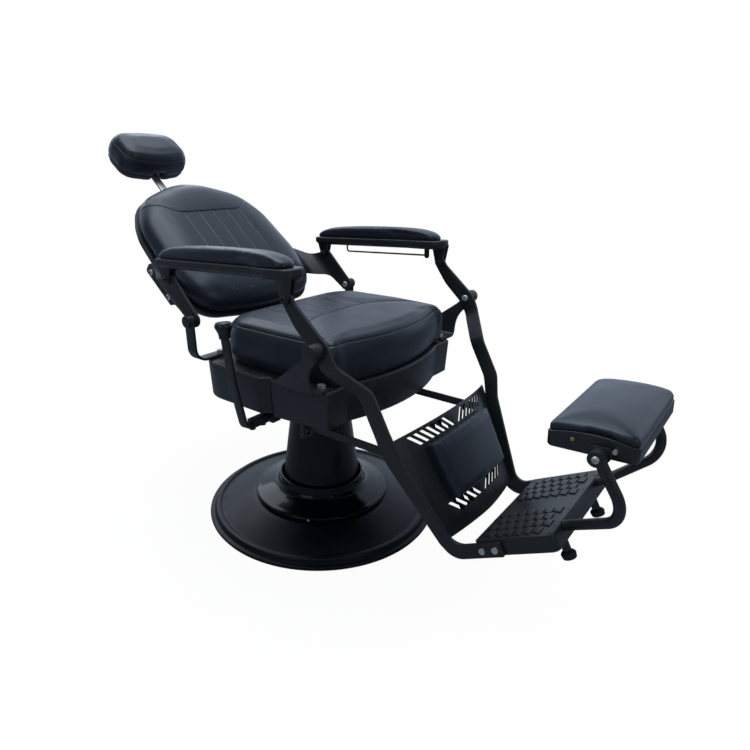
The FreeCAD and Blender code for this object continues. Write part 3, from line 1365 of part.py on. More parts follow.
def lever_shaft():
    """Round shaft along X that ends in a flat pad for the lever bar."""
    shaft = rod(V(LEVER_SHAFT_INNER_X, 0, 0), V(LEVER_PAD_X, 0, 0), LEVER_SHAFT_R)
    half = LEVER_BAR_W / 2
    pad = Part.makeBox(LEVER_PAD_X - LEVER_BAR_X - LEVER_BEND_R, LEVER_BAR_W, LEVER_PAD_T,
                       V(LEVER_BAR_X + LEVER_BEND_R, -half, -LEVER_PAD_T / 2))
    return on_lever(shaft.fuse(pad).removeSplitter())


def lever_bar():
    """Flat bar bolted under the shaft's pad and bent up beside the seat."""
    low = -LEVER_PAD_T / 2 - LEVER_BAR_T / 2
    path = [(LEVER_PAD_X - LEVER_END_GAP, low, 0), (LEVER_BAR_X, low, LEVER_BEND_R),
            (LEVER_BAR_X - LEVER_SPLAY / 2 - LEVER_BOW, LEVER_TOP / 2, 300),
            (LEVER_BAR_X - LEVER_SPLAY, LEVER_TOP, 0)]
    half = LEVER_BAR_W / 2
    return on_lever(prism(strip_corners(path, LEVER_BAR_T), "XZ", -half, half))


def lever_bolts():
    """Two bolt heads under the lever bar."""
    low = -LEVER_PAD_T / 2 - LEVER_BAR_T
    heads = []
    for x in (LEVER_PAD_X - 10, LEVER_PAD_X - 44):
        heads.append(on_lever(rod(V(x, 0, low - 6), V(x, 0, low), 7)))
    return Part.Compound(heads)


def lever_knob():
    """Flared knob on the lever's top end."""
    h = KNOB_H
    r = KNOB_R
    knob = turned([(0, 0, 0), (0.62 * r, 0, 0), (0.66 * r, 0.3 * h, 20), (r, 0.72 * h, 6), (0.86 * r, 0.92 * h, 0),
                   (0, h, 0)])
    return on_lever(knob.translated(V(LEVER_BAR_X - LEVER_SPLAY, 0, LEVER_TOP + KNOB_SEAT)))


def lever_bearing():
    """Block under the seat box that the lever's shaft turns in."""
    low = LEVER_Z - LEVER_SHAFT_R - 9
    half = BEARING_HALF_W
    side = [(LEVER_Y - half, low, 8), (LEVER_Y + half, low, 8), (LEVER_Y + half, SEAT_BOX_BOTTOM_Z, 0),
            (LEVER_Y - half, SEAT_BOX_BOTTOM_Z, 0)]
    block = prism(side, "YZ", BEARING_X, BEARING_X + BEARING_L)
    return block.cut(rod(V(BEARING_X, LEVER_Y, LEVER_Z), V(BEARING_X + BEARING_L, LEVER_Y, LEVER_Z),
                         LEVER_SHAFT_R + RUN_FIT))


def chair():
    """Every piece of the chair by its node's name."""
    left = {"front_bracket": front_bracket(), "rear_bracket": rear_bracket(), "wing": wing(),
            "armrest_pad": armrest_pad(), "arm_bolts": arm_bolts(), "leg_strap": leg_strap(),
            "pad_tube": pad_tube()}
    pieces = {"base_plate": base_plate(), "flange_cover": flange_cover(), "pump_cylinder": pump_cylinder(),
              "pump_gland": pump_gland(), "ram": ram(), "top_plate": top_plate(), "cone_shroud": cone_shroud(),
              "swivel_plate": swivel_plate(), "swivel_bolts": swivel_bolts(), "seat_box": seat_box(),
              "seat_cushion": seat_cushion(), "bracket_bolts": bracket_bolts(), "pivot_bolts": pivot_bolts(),
              "lock_bar_guides": lock_bar_guides(), "back_shell": back_shell(), "back_cushion": back_cushion(),
              "wing_bolts": wing_bolts(), "headrest_socket": headrest_socket(), "headrest_bar": headrest_bar(),
              "headrest_cushion": headrest_cushion(), "headrest_bracket": headrest_bracket(),
              "headrest_pin": headrest_pin(), "armrest_tray_left": armrest_tray(True),
              "armrest_tray_right": mirrored(armrest_tray(False)), "recline_trigger": recline_trigger(),
              "strap_bolts": strap_bolts(), "leg_panel": on_leg(leg_panel()), "calf_pad": calf_pad(),
              "lock_bar_lugs": lock_bar_lugs(), "lock_bar_pins": lock_bar_pins(), "lock_bars": lock_bars(),
              "footplate": footplate(), "foot_rods": foot_rods(), "rubber_feet": rubber_feet(),
              "foot_pad_tray": foot_pad_tray(), "foot_pad_cushion": foot_pad_cushion(),
              "foot_pad_brackets": foot_pad_brackets(), "foot_pad_bolts": foot_pad_bolts(),
              "lever_shaft": lever_shaft(), "lever_bar": lever_bar(), "lever_bolts": lever_bolts(),
              "lever_knob": lever_knob(), "lever_bearing": lever_bearing()}
    for name, shape in left.items():
        pieces[name + "_left"] = shape
        pieces[name + "_right"] = mirrored(shape)
    return pieces


def main():
    """Write each piece to its own STEP file."""
    os.makedirs("parts", exist_ok=True)
    for name, shape in chair().items():
        sound = shape.isValid() and shape.Volume > 0
        print("%-20s %2d solids %10.1f cm3 %s" % (name, len(shape.Solids), shape.Volume / 1000, sound))
        shape.exportStep("parts/%s.step" % name)


main()
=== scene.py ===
"""Looks of the reclining barber chair: upholstery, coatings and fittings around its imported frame.

The frame gives every piece's place. Cushions grow from their solids as simulated padding with seams, welts
and stitches, and metal pieces get rounded edges and worn coatings. Metres, +Z up, the sitter faces -Y.
"""

import json
import logging
import math
from dataclasses import dataclass
from enum import Enum
from typing import Any, Dict, List, Optional, Sequence, Tuple, Union

import bmesh
import bpy
import numpy as np
from mathutils import Matrix, Vector
from mathutils.bvhtree import BVHTree
from mathutils.kdtree import KDTree


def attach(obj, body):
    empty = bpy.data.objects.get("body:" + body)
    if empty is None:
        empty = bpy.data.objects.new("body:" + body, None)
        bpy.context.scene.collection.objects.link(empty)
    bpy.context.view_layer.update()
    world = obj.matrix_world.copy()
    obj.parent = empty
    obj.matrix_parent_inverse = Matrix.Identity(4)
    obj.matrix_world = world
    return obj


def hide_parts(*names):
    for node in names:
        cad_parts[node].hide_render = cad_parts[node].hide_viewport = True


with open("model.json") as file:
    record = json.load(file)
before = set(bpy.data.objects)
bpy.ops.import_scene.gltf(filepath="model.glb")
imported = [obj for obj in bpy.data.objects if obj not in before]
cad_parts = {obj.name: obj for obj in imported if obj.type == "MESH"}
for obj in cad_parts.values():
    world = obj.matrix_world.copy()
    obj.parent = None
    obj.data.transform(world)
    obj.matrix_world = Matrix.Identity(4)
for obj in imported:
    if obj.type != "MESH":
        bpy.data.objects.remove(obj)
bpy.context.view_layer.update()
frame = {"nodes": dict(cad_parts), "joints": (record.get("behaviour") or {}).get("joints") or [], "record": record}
LOG = logging.getLogger("barber_chair")

Point = Tuple[float, float, float]
Spot = Tuple[float, float]
Colour = Tuple[float, float, float]
MM = 0.001

# Leans of the sub-assemblies about X, in degrees, as their solids are built
BACK_TURN = 40.5
HEADREST_TURN = 35.5
ARM_TURN = -2.5
CALF_TURN = 61.6
FOOT_PAD_TURN = -3.0
LEG_TURN = -28.4
LEVER_TURN = 5.0
HEADREST_MIDDLE = (0.0, 0.7174, 0.9876)

# Directions of bolts
ACROSS = (1.0, 0.0, 0.0)
UPRIGHT = (0.0, 0.0, 1.0)

# Cleaning of copied and turned meshes
MERGE_REACH = 0.02 * MM
FLAT_ANGLE = math.radians(0.6)
TURNED_MERGE = 0.01 * MM
TURNED_THIN = 0.005 * MM

# Steps along sewn lines, cuts and turned outlines
LOOP_STEP = 3.0 * MM
SHORTEST_LOOP = 0.1
CUT_REACH = 1e-6
CORNER_CUT = 0.25
ARC_POINTS = 7
LONGEST_RUN = 9.0

# Reading of bolt heads from solids
WIDE_SHARE = 0.92
END_REACH = 0.2 * MM
LONGEST_HEAD = 12.0 * MM
LOWEST_HEAD = 0.5 * MM


class Weave(Enum):
    """Fine surface pattern of a finish."""

    PEBBLE = "pebbled hide"
    PEEL = "sprayed coat"
    BRUSHED = "brushed metal"
    SAND = "cast skin"


class Edge(Enum):
    """Width of a rounded edge, by the kind of piece."""

    TURNED = 0.7 * MM
    WIRE = 0.8 * MM
    SHEET = 1.0 * MM
    PLATE = 1.2 * MM
    RUBBER = 1.5 * MM
    TRAY = 1.6 * MM
    BAR = 1.8 * MM
    KNOB = 2.0 * MM
    BOARD = 2.5 * MM
    BOX = 3.0 * MM
    SHELL = 5.0 * MM


class Graph:
    """Adds and joins nodes of one node tree."""

    MIX_INPUTS = (0, 6, 7)
    MIX_OUTPUT = 2

    def __init__(self, tree: bpy.types.NodeTree) -> None:
        """Keep the tree.

        Args:
            tree: Shader or geometry node tree to fill.
        """
        self.tree = tree

    def add(self, kind: str, inputs: Optional[Dict[Union[str, int], Any]] = None,
            **settings: Any) -> bpy.types.Node:
        """Add one node.

        Args:
            kind: Node type name.
            inputs: Values or source sockets by input name or index.
            **settings: Properties of the node.

        Returns:
            The new node.
        """
        node = self.tree.nodes.new(kind)
        for name, value in settings.items():
            setattr(node, name, value)
        for key, value in (inputs or {}).items():
            if isinstance(value, bpy.types.NodeSocket):
                self.tree.links.new(value, node.inputs[key])
            else:
                node.inputs[key].default_value = value
        return node

    def join(self, source: bpy.types.NodeSocket, target: bpy.types.NodeSocket) -> None:
        """Link two sockets."""
        self.tree.links.new(source, target)

    def math(self, operation: str, first: Any, second: Any = 0.0,
             clamp: bool = False) -> bpy.types.NodeSocket:
        """Output of a Math node."""
        node = self.add("ShaderNodeMath", {0: first, 1: second}, operation=operation, use_clamp=clamp)
        return node.outputs[0]

    def noise(self, at: bpy.types.NodeSocket, scale: Any, detail: float,
              rough: float = 0.5) -> bpy.types.Node:
        """Noise Texture node at a place."""
        inputs = {"Vector": at, "Scale": scale, "Detail": detail, "Roughness": rough}
        return self.add("ShaderNodeTexNoise", inputs)

    def spread(self, value: Any, low: float, high: float, to_low: float,
               to_high: float) -> bpy.types.NodeSocket:
        """Output of a Map Range node."""
        inputs = {"Value": value, "From Min": low, "From Max": high, "To Min": to_low, "To Max": to_high}
        return self.add("ShaderNodeMapRange", inputs).outputs["Result"]

    def tint(self, share: Any, first: Any, second: Any) -> bpy.types.NodeSocket:
        """Colour between two colours, from a Mix node."""
        inputs = dict(zip(self.MIX_INPUTS, (share, first, second)))
        return self.add("ShaderNodeMix", inputs, data_type="RGBA").outputs[self.MIX_OUTPUT]


class EffectGroups:
    """Shader node groups that several finishes share, each built once."""

    BEND_SCALE = 0.4
    BEND_DETAIL = 2.0
    BEND_REACH = (0.0022, 0.0022, 0.0022)
    CELL_SMOOTH = 0.35
    CELL_SPAN = (0.1, 0.75)
    DRAWN_SCALE = (1.0, 0.06, 1.0)
    DETAIL = {Weave.BRUSHED: 3.0, Weave.PEEL: 1.0, Weave.SAND: 5.0}
    TONE = {Weave.PEBBLE: (9.0, 4.0), Weave.BRUSHED: (60.0, 3.0), Weave.PEEL: (14.0, 5.0),
            Weave.SAND: (14.0, 5.0)}
    RIDGE_SPAN = (0.54, 0.64)
    CHIP_NOISE = (70.0, 6.0, 0.7)
    CHIP_SPAN = (0.45, 0.7)
    UPWARD_SPAN = (0.3, 1.0)
    PATCH_NOISE = (22.0, 6.0)
    PATCH_SPAN = (0.35, 0.75)
    PATCH_LOW = 0.2

    def __init__(self) -> None:
        """Start with no group built."""
        self._made: Dict[str, bpy.types.NodeTree] = {}

    def _open(self, name: str, inputs: Dict[str, float],
              outputs: Sequence[str]) -> Tuple[Graph, bpy.types.Node, bpy.types.Node]:
        """Make an empty group.

        Args:
            name: Name of the group.
            inputs: Float inputs with their defaults, after the Vector input.
            outputs: Float outputs.

        Returns:
            The graph, the group's input node and its output node.
        """
        tree = bpy.data.node_groups.new(name, "ShaderNodeTree")
        tree.interface.new_socket("Vector", in_out="INPUT", socket_type="NodeSocketVector")
        for label, value in inputs.items():
            socket = tree.interface.new_socket(label, in_out="INPUT", socket_type="NodeSocketFloat")
            socket.default_value = value
        for label in outputs:
            tree.interface.new_socket(label, in_out="OUTPUT", socket_type="NodeSocketFloat")
        graph = Graph(tree)
        self._made[name] = tree
        return graph, graph.add("NodeGroupInput"), graph.add("NodeGroupOutput")

    def weave(self, weave: Weave) -> bpy.types.NodeTree:
        """Group that gives the Height and Tone of a fine pattern.

        Args:
            weave: The pattern.

        Returns:
            The group.
        """
        name = "weave_" + weave.name.lower()
        if name in self._made:
            return self._made[name]
        graph, start, end = self._open(name, {"Scale": 500.0}, ("Height", "Tone"))
        at = start.outputs["Vector"]
        scale = start.outputs["Scale"]
        if weave is Weave.PEBBLE:
            bend = graph.noise(at, graph.math("MULTIPLY", scale, self.BEND_SCALE), self.BEND_DETAIL)
            offset = graph.add("ShaderNodeVectorMath", {0: bend.outputs["Color"], 1: self.BEND_REACH},
                               operation="MULTIPLY")
            shifted = graph.add("ShaderNodeVectorMath", {0: at, 1: offset.outputs[0]})
            cells = graph.add("ShaderNodeTexVoronoi", {"Vector": shifted.outputs[0], "Scale": scale,
                                                       "Smoothness": self.CELL_SMOOTH}, feature="SMOOTH_F1")
            height = graph.spread(cells.outputs["Distance"], *self.CELL_SPAN, 1.0, 0.0)
        else:
            grain = at
            if weave is Weave.BRUSHED:
                grain = graph.add("ShaderNodeMapping", {"Vector": at, "Scale": self.DRAWN_SCALE}).outputs[0]
            height = graph.noise(grain, scale, self.DETAIL[weave]).outputs["Fac"]
        graph.join(height, end.inputs["Height"])
        graph.join(graph.noise(at, *self.TONE[weave]).outputs["Fac"], end.inputs["Tone"])
        return self._made[name]

    def edge_wear(self) -> bpy.types.NodeTree:
        """Group that gives a Mask of rubbed edges.

        Returns:
            The group.
        """
        name = "edge_wear"
        if name in self._made:
            return self._made[name]
        graph, start, end = self._open(name, {"Amount": 0.5}, ("Mask",))
        point = graph.add("ShaderNodeNewGeometry").outputs["Pointiness"]
        ridge = graph.spread(point, *self.RIDGE_SPAN, 0.0, 1.0)
        chips = graph.noise(start.outputs["Vector"], *self.CHIP_NOISE)
        broken = graph.spread(chips.outputs["Fac"], *self.CHIP_SPAN, 0.0, 1.0)
        both = graph.math("MULTIPLY", ridge, broken)
        mask = graph.math("MULTIPLY", both, start.outputs["Amount"], clamp=True)
        graph.join(mask, end.inputs["Mask"])
        return self._made[name]

    def dust(self) -> bpy.types.NodeTree:
        """Group that gives a Mask of thin dust on upward faces.

        Returns:
            The group.
        """
        name = "dust_film"
        if name in self._made:
            return self._made[name]
        graph, start, end = self._open(name, {"Amount": 0.1}, ("Mask",))
        normal = graph.add("ShaderNodeNewGeometry").outputs["Normal"]
        up = graph.add("ShaderNodeSeparateXYZ", {0: normal}).outputs["Z"]
        level = graph.spread(up, *self.UPWARD_SPAN, 0.0, 1.0)
        patches = graph.noise(start.outputs["Vector"], *self.PATCH_NOISE)
        soft = graph.spread(patches.outputs["Fac"], *self.PATCH_SPAN, self.PATCH_LOW, 1.0)
        both = graph.math("MULTIPLY", level, soft)
        mask = graph.math("MULTIPLY", both, start.outputs["Amount"], clamp=True)
        graph.join(mask, end.inputs["Mask"])
        return self._made[name]


EFFECTS = EffectGroups()


@dataclass(frozen=True)
class Finish:
    """One surface finish.

    Attributes:
        name: Name of the material.
        slot: Material slot of the record.
        colour: Main colour.
        deep: Second tone in the colour's slow variation.
        rough: Lowest and highest roughness.
        weave: Fine pattern.
        scale: Fine pattern's repeats per metre.
        depth: Height of the fine pattern's relief.
        metallic: Share of bare metal.
        shine: Level of the plain reflection.
        glint: Tint of the plain reflection.
        coat: Weight of a clear coat.
        coat_rough: Roughness of the clear coat.
        sheen: Weight of soft sheen.
        wear: Strength of rubbed edges.
        wear_colour: Colour under the rubbed edges.
        dust: Strength of the dust film.
    """

    name: str
    slot: str
    colour: Colour
    deep: Colour
    rough: Spot
    weave: Weave
    scale: float
    depth: float
    metallic: float = 0.0
    shine: float = 0.5
    glint: Colour = (0.86, 0.93, 1.0)
    coat: float = 0.0
    coat_rough: float = 0.1
    sheen: float = 0.0
    wear: float = 0.0
    wear_colour: Colour = (0.1, 0.1, 0.1)
    dust: float = 0.0

    TONE_LOW = 0.3
    TONE_HIGH = 0.7
    DUST_COLOUR = (0.2, 0.2, 0.19, 1.0)
    DUST_ROUGH = 0.5
    RELIEF = 0.6
    SHEEN_ROUGH = 0.4
    SHEEN_TINT = (0.62, 0.78, 1.0, 1.0)

    def material(self) -> bpy.types.Material:
        """Material of this finish, built on first use.

        Returns:
            The Blender material.
        """
        found = bpy.data.materials.get(self.name)
        if found:
            return found
        material = bpy.data.materials.new(self.name)
        material.use_nodes = True
        material.node_tree.nodes.clear()
        graph = Graph(material.node_tree)
        at = graph.add("ShaderNodeTexCoord").outputs["Object"]
        pattern = graph.add("ShaderNodeGroup", node_tree=EFFECTS.weave(self.weave))
        pattern.inputs["Scale"].default_value = self.scale
        graph.join(at, pattern.inputs["Vector"])
        tone = pattern.outputs["Tone"]
        mix = graph.spread(tone, self.TONE_LOW, self.TONE_HIGH, 0.0, 1.0)
        colour = graph.tint(mix, (*self.colour, 1.0), (*self.deep, 1.0))
        rough = graph.spread(tone, self.TONE_LOW, self.TONE_HIGH, self.rough[0], self.rough[1])
        if self.wear:
            rubbed = EFFECTS.edge_wear()
            worn = graph.add("ShaderNodeGroup", {"Vector": at, "Amount": self.wear}, node_tree=rubbed)
            colour = graph.tint(worn.outputs["Mask"], colour, (*self.wear_colour, 1.0))
        if self.dust:
            film = graph.add("ShaderNodeGroup", {"Vector": at, "Amount": self.dust}, node_tree=EFFECTS.dust())
            colour = graph.tint(film.outputs["Mask"], colour, self.DUST_COLOUR)
            rough = graph.math("ADD", rough, graph.math("MULTIPLY", film.outputs["Mask"], self.DUST_ROUGH),
                               clamp=True)
        relief = graph.add("ShaderNodeBump", {"Strength": self.RELIEF, "Distance": self.depth,
                                              "Height": pattern.outputs["Height"]})
        shader = graph.add("ShaderNodeBsdfPrincipled", {"Base Color": colour, "Roughness": rough,
                                                        "Normal": relief.outputs["Normal"]})
        for socket, value in (("Metallic", self.metallic), ("Specular IOR Level", self.shine),
                              ("Coat Weight", self.coat), ("Coat Roughness", self.coat_rough),
                              ("Sheen Weight", self.sheen), ("Sheen Roughness", self.SHEEN_ROUGH),
                              ("Sheen Tint", self.SHEEN_TINT), ("Specular Tint", (*self.glint, 1.0))):
            shader.inputs[socket].default_value = value
        end = graph.add("ShaderNodeOutputMaterial")
        graph.join(shader.outputs["BSDF"], end.inputs["Surface"])
        return material


HIDE = Finish("black_hide", "black_leather", (0.0058, 0.0075, 0.0125), (0.0086, 0.0106, 0.0165), (0.31, 0.41),
              Weave.PEBBLE, 620.0, 0.00018, shine=0.56, sheen=0.15, glint=(0.78, 0.88, 1.0))
WELT = Finish("welt_hide", "black_leather", (0.0055, 0.007, 0.0105), (0.008, 0.0098, 0.014), (0.36, 0.46),
              Weave.PEBBLE, 900.0, 0.00012, glint=(0.78, 0.88, 1.0))
THREAD = Finish("waxed_thread", "black_leather", (0.003, 0.004, 0.006), (0.0045, 0.0058, 0.008), (0.6, 0.75),
                Weave.SAND, 2500.0, 0.0001, shine=0.12)
SATIN = Finish("satin_powder_coat", "satin_black", (0.0092, 0.0104, 0.0112), (0.012, 0.0134, 0.0144),
               (0.36, 0.46), Weave.PEEL, 900.0, 0.00006, shine=0.5, wear=0.3, dust=0.008)
GLOSS = Finish("gloss_enamel", "gloss_black", (0.001, 0.0015, 0.0027), (0.0016, 0.0022, 0.0036), (0.08, 0.14),
               Weave.PEEL, 160.0, 0.00001, shine=0.22, coat=0.08, coat_rough=0.04)
CASTING = Finish("base_casting", "base_iron", (0.0018, 0.003, 0.0064), (0.003, 0.0045, 0.0084), (0.3, 0.4),
                 Weave.SAND, 420.0, 0.00005, shine=0.18, wear=0.2)
BOARD = Finish("lacquered_board", "black_board", (0.0088, 0.0104, 0.012), (0.0116, 0.0134, 0.015),
               (0.32, 0.44), Weave.PEEL, 300.0, 0.00005, shine=0.5, wear=0.2, dust=0.006)
SHELL_HIDE = Finish("shell_hide", "black_board", (0.0054, 0.0068, 0.0106), (0.008, 0.0098, 0.0142),
                    (0.42, 0.54), Weave.PEBBLE, 520.0, 0.0002, shine=0.4)
STEEL = Finish("bright_steel", "bright_steel", (0.5, 0.51, 0.52), (0.34, 0.35, 0.36), (0.22, 0.38),
               Weave.BRUSHED, 1400.0, 0.00004, metallic=1.0)
BRASS = Finish("brass_screw", "bright_steel", (0.6, 0.43, 0.17), (0.48, 0.33, 0.12), (0.25, 0.4),
               Weave.BRUSHED, 1400.0, 0.00004, metallic=1.0, glint=(1.0, 1.0, 1.0))
RUBBER = Finish("foot_rubber", "black_rubber", (0.007, 0.0076, 0.0085), (0.011, 0.0118, 0.0128), (0.6, 0.8),
                Weave.SAND, 700.0, 0.00015, shine=0.35, dust=0.015)
KNOB = Finish("knob_plastic", "black_plastic", (0.003, 0.0034, 0.0042), (0.005, 0.0054, 0.0064), (0.34, 0.46),
              Weave.PEEL, 500.0, 0.00003, coat=0.08, coat_rough=0.2)


@dataclass(frozen=True)
class Stand:
    """Local frame of a sub-assembly: an origin and a turn about X.

    Attributes:
        origin: Place of the origin in the chair.
        turn: Turn about X in degrees.
    """

    origin: Point
    turn: float

    def matrix(self) -> np.ndarray:
        """Rotation whose columns are the local axes."""
        a = math.radians(self.turn)
        return np.array([[1, 0, 0], [0, math.cos(a), -math.sin(a)], [0, math.sin(a), math.cos(a)]])

    def inside(self, points: np.ndarray) -> np.ndarray:
        """Points of the chair in this frame."""
        return (points - np.array(self.origin)) @ self.matrix()

    def outside(self, points: np.ndarray) -> np.ndarray:
        """Points of this frame in the chair."""
        return points @ self.matrix().T + np.array(self.origin)


def joint_place(name: str) -> Point:
    """Place of a hinge in the chair.

    Args:
        name: Joint of the frame.

    Returns:
        The hinge's point on the middle plane.
    """
    joint = next(j for j in frame["joints"] if j["name"] == name)
    return (0.0, joint["pos_m"][1], joint["pos_m"][2])


def read_points(mesh: bpy.types.Mesh) -> np.ndarray:
    """Vertex places of a mesh as an array.

    Args:
        mesh: Mesh to read.

    Returns:
        One row for each vertex.
    """
    flat = np.empty(len(mesh.vertices) * 3, np.float32)
    mesh.vertices.foreach_get("co", flat)
    return flat.reshape(-1, 3).astype(float)


def read_normals(mesh: bpy.types.Mesh) -> np.ndarray:
    """Vertex normals of a mesh as an array.

    Args:
        mesh: Mesh to read.

    Returns:
        One row for each vertex.
    """
    flat = np.empty(len(mesh.vertices) * 3, np.float32)
    mesh.vertex_normals.foreach_get("vector", flat)
    return flat.reshape(-1, 3).astype(float)


def write_points(mesh: bpy.types.Mesh, points: np.ndarray) -> None:
    """Set the vertex places of a mesh."""
    mesh.vertices.foreach_set("co", points.astype(np.float32).ravel())
    mesh.update()


def new_object(name: str, mesh: bpy.types.Mesh) -> bpy.types.Object:
    """Object of a mesh at the origin, in the scene.

    Args:
        name: Name of the object.
        mesh: Its mesh.

    Returns:
        The new object.
    """
    piece = bpy.data.objects.new(name, mesh)
    bpy.context.scene.collection.objects.link(piece)
    return piece


def mesh_of(shape: bmesh.types.BMesh, name: str) -> bpy.types.Mesh:
    """New mesh of a shape, which is freed.

    Args:
        shape: Shape to write.
        name: Name of the mesh.

    Returns:
        The new mesh.
    """
    mesh = bpy.data.meshes.new(name)
    shape.to_mesh(mesh)
    shape.free()
    return mesh


def bridge(shape: bmesh.types.BMesh, rings: Sequence[Sequence[bmesh.types.BMVert]]) -> None:
    """Join each ring of points to the next one by faces.

    Args:
        shape: Shape that holds the points.
        rings: Closed rings of equal length, in order.
    """
    for lower, upper in zip(rings[:-1], rings[1:]):
        for k in range(len(lower)):
            nxt = (k + 1) % len(lower)
            shape.faces.new((lower[k], lower[nxt], upper[nxt], upper[k]))


def joined(source: bpy.types.Mesh, name: str, reach: float, flat: float) -> bpy.types.Mesh:
    """Copy of a mesh with its loose triangles joined and flat areas as single faces.

    Args:
        source: Mesh to copy.
        name: Name of the copy.
        reach: Distance within which points become one.
        flat: Angle up to which faces become one.

    Returns:
        The clean mesh.
    """
    shape = bmesh.new()
    shape.from_mesh(source)
    bmesh.ops.remove_doubles(shape, verts=shape.verts, dist=reach)
    bmesh.ops.dissolve_limit(shape, angle_limit=flat, verts=shape.verts, edges=shape.edges)
    return mesh_of(shape, name)


def merged_copy(node: str) -> bpy.types.Mesh:
    """Clean copy of a node's mesh."""
    return joined(frame["nodes"][node].data, node + "_copy", MERGE_REACH, FLAT_ANGLE)


def applied(piece: bpy.types.Object) -> bpy.types.Mesh:
    """Plain mesh of an object with its modifiers applied and removed.

    Args:
        piece: Object with live modifiers.

    Returns:
        The new mesh, already set on the object.
    """
    bpy.context.view_layer.update()
    graph = bpy.context.evaluated_depsgraph_get()
    mesh = bpy.data.meshes.new_from_object(piece.evaluated_get(graph))
    piece.modifiers.clear()
    old = piece.data
    piece.data = mesh
    bpy.data.meshes.remove(old)
    return mesh


def smooth_faces(mesh: bpy.types.Mesh, angle: float) -> None:
    """Shade a mesh smooth up to an angle in degrees."""
    mesh.polygons.foreach_set("use_smooth", [True] * len(mesh.polygons))
    mesh.set_sharp_from_angle(angle=math.radians(angle))


def dress(piece: bpy.types.Object, finish: Finish) -> None:
    """Give a piece one finish.

    Args:
        piece: Piece to dress.
        finish: Its finish.
    """
    piece.data.materials.clear()
    piece.data.materials.append(finish.material())


def body_of_node(node: str) -> str:
    """Body that holds a node."""
    groups = frame["record"]["behaviour"]["bodies"]
    return next(body for body, nodes in groups.items() if node in nodes)


class NodeTool:
    """Geometry Nodes tree with named inputs that turns a guide mesh into finished geometry."""

    def __init__(self, name: str, inputs: Dict[str, str]) -> None:
        """Start a tree.

        Args:
            name: Name of the tree.
            inputs: Socket types by input name, after the Geometry input.
        """
        self.tree = bpy.data.node_groups.new(name, "GeometryNodeTree")
        self.tree.interface.new_socket("Geometry", in_out="INPUT", socket_type="NodeSocketGeometry")
        self.sockets: Dict[str, str] = {}
        for label, kind in inputs.items():
            socket = self.tree.interface.new_socket(label, in_out="INPUT", socket_type=kind)
            self.sockets[label] = socket.identifier
        self.tree.interface.new_socket("Geometry", in_out="OUTPUT", socket_type="NodeSocketGeometry")
        self.graph = Graph(self.tree)
        self.start = self.graph.add("NodeGroupInput")
        self.end = self.graph.add("NodeGroupOutput")

    def close(self, geometry: bpy.types.NodeSocket) -> None:
        """End the tree in real geometry, smooth and with its material.

        Args:
            geometry: Output that the tree ends in.
        """
        graph = self.graph
        real = graph.add("GeometryNodeRealizeInstances", {"Geometry": geometry})
        smooth = graph.add("GeometryNodeSetShadeSmooth", {"Geometry": real.outputs[0]})
        coloured = graph.add("GeometryNodeSetMaterial", {"Geometry": smooth.outputs[0],
                                                         "Material": self.start.outputs["Material"]})
        graph.join(coloured.outputs[0], self.end.inputs["Geometry"])

    def run(self, name: str, guide: bpy.types.Mesh, values: Dict[str, Any]) -> bpy.types.Object:
        """Make one plain piece.

        Args:
            name: Name of the piece.
            guide: Guide mesh.
            values: Input values by name.

        Returns:
            The piece with a plain mesh.
        """
        piece = new_object(name, guide)
        step = piece.modifiers.new("pattern", "NODES")
        step.node_group = self.tree
        for label, value in values.items():
            step[self.sockets[label]] = value
        applied(piece)
        return piece


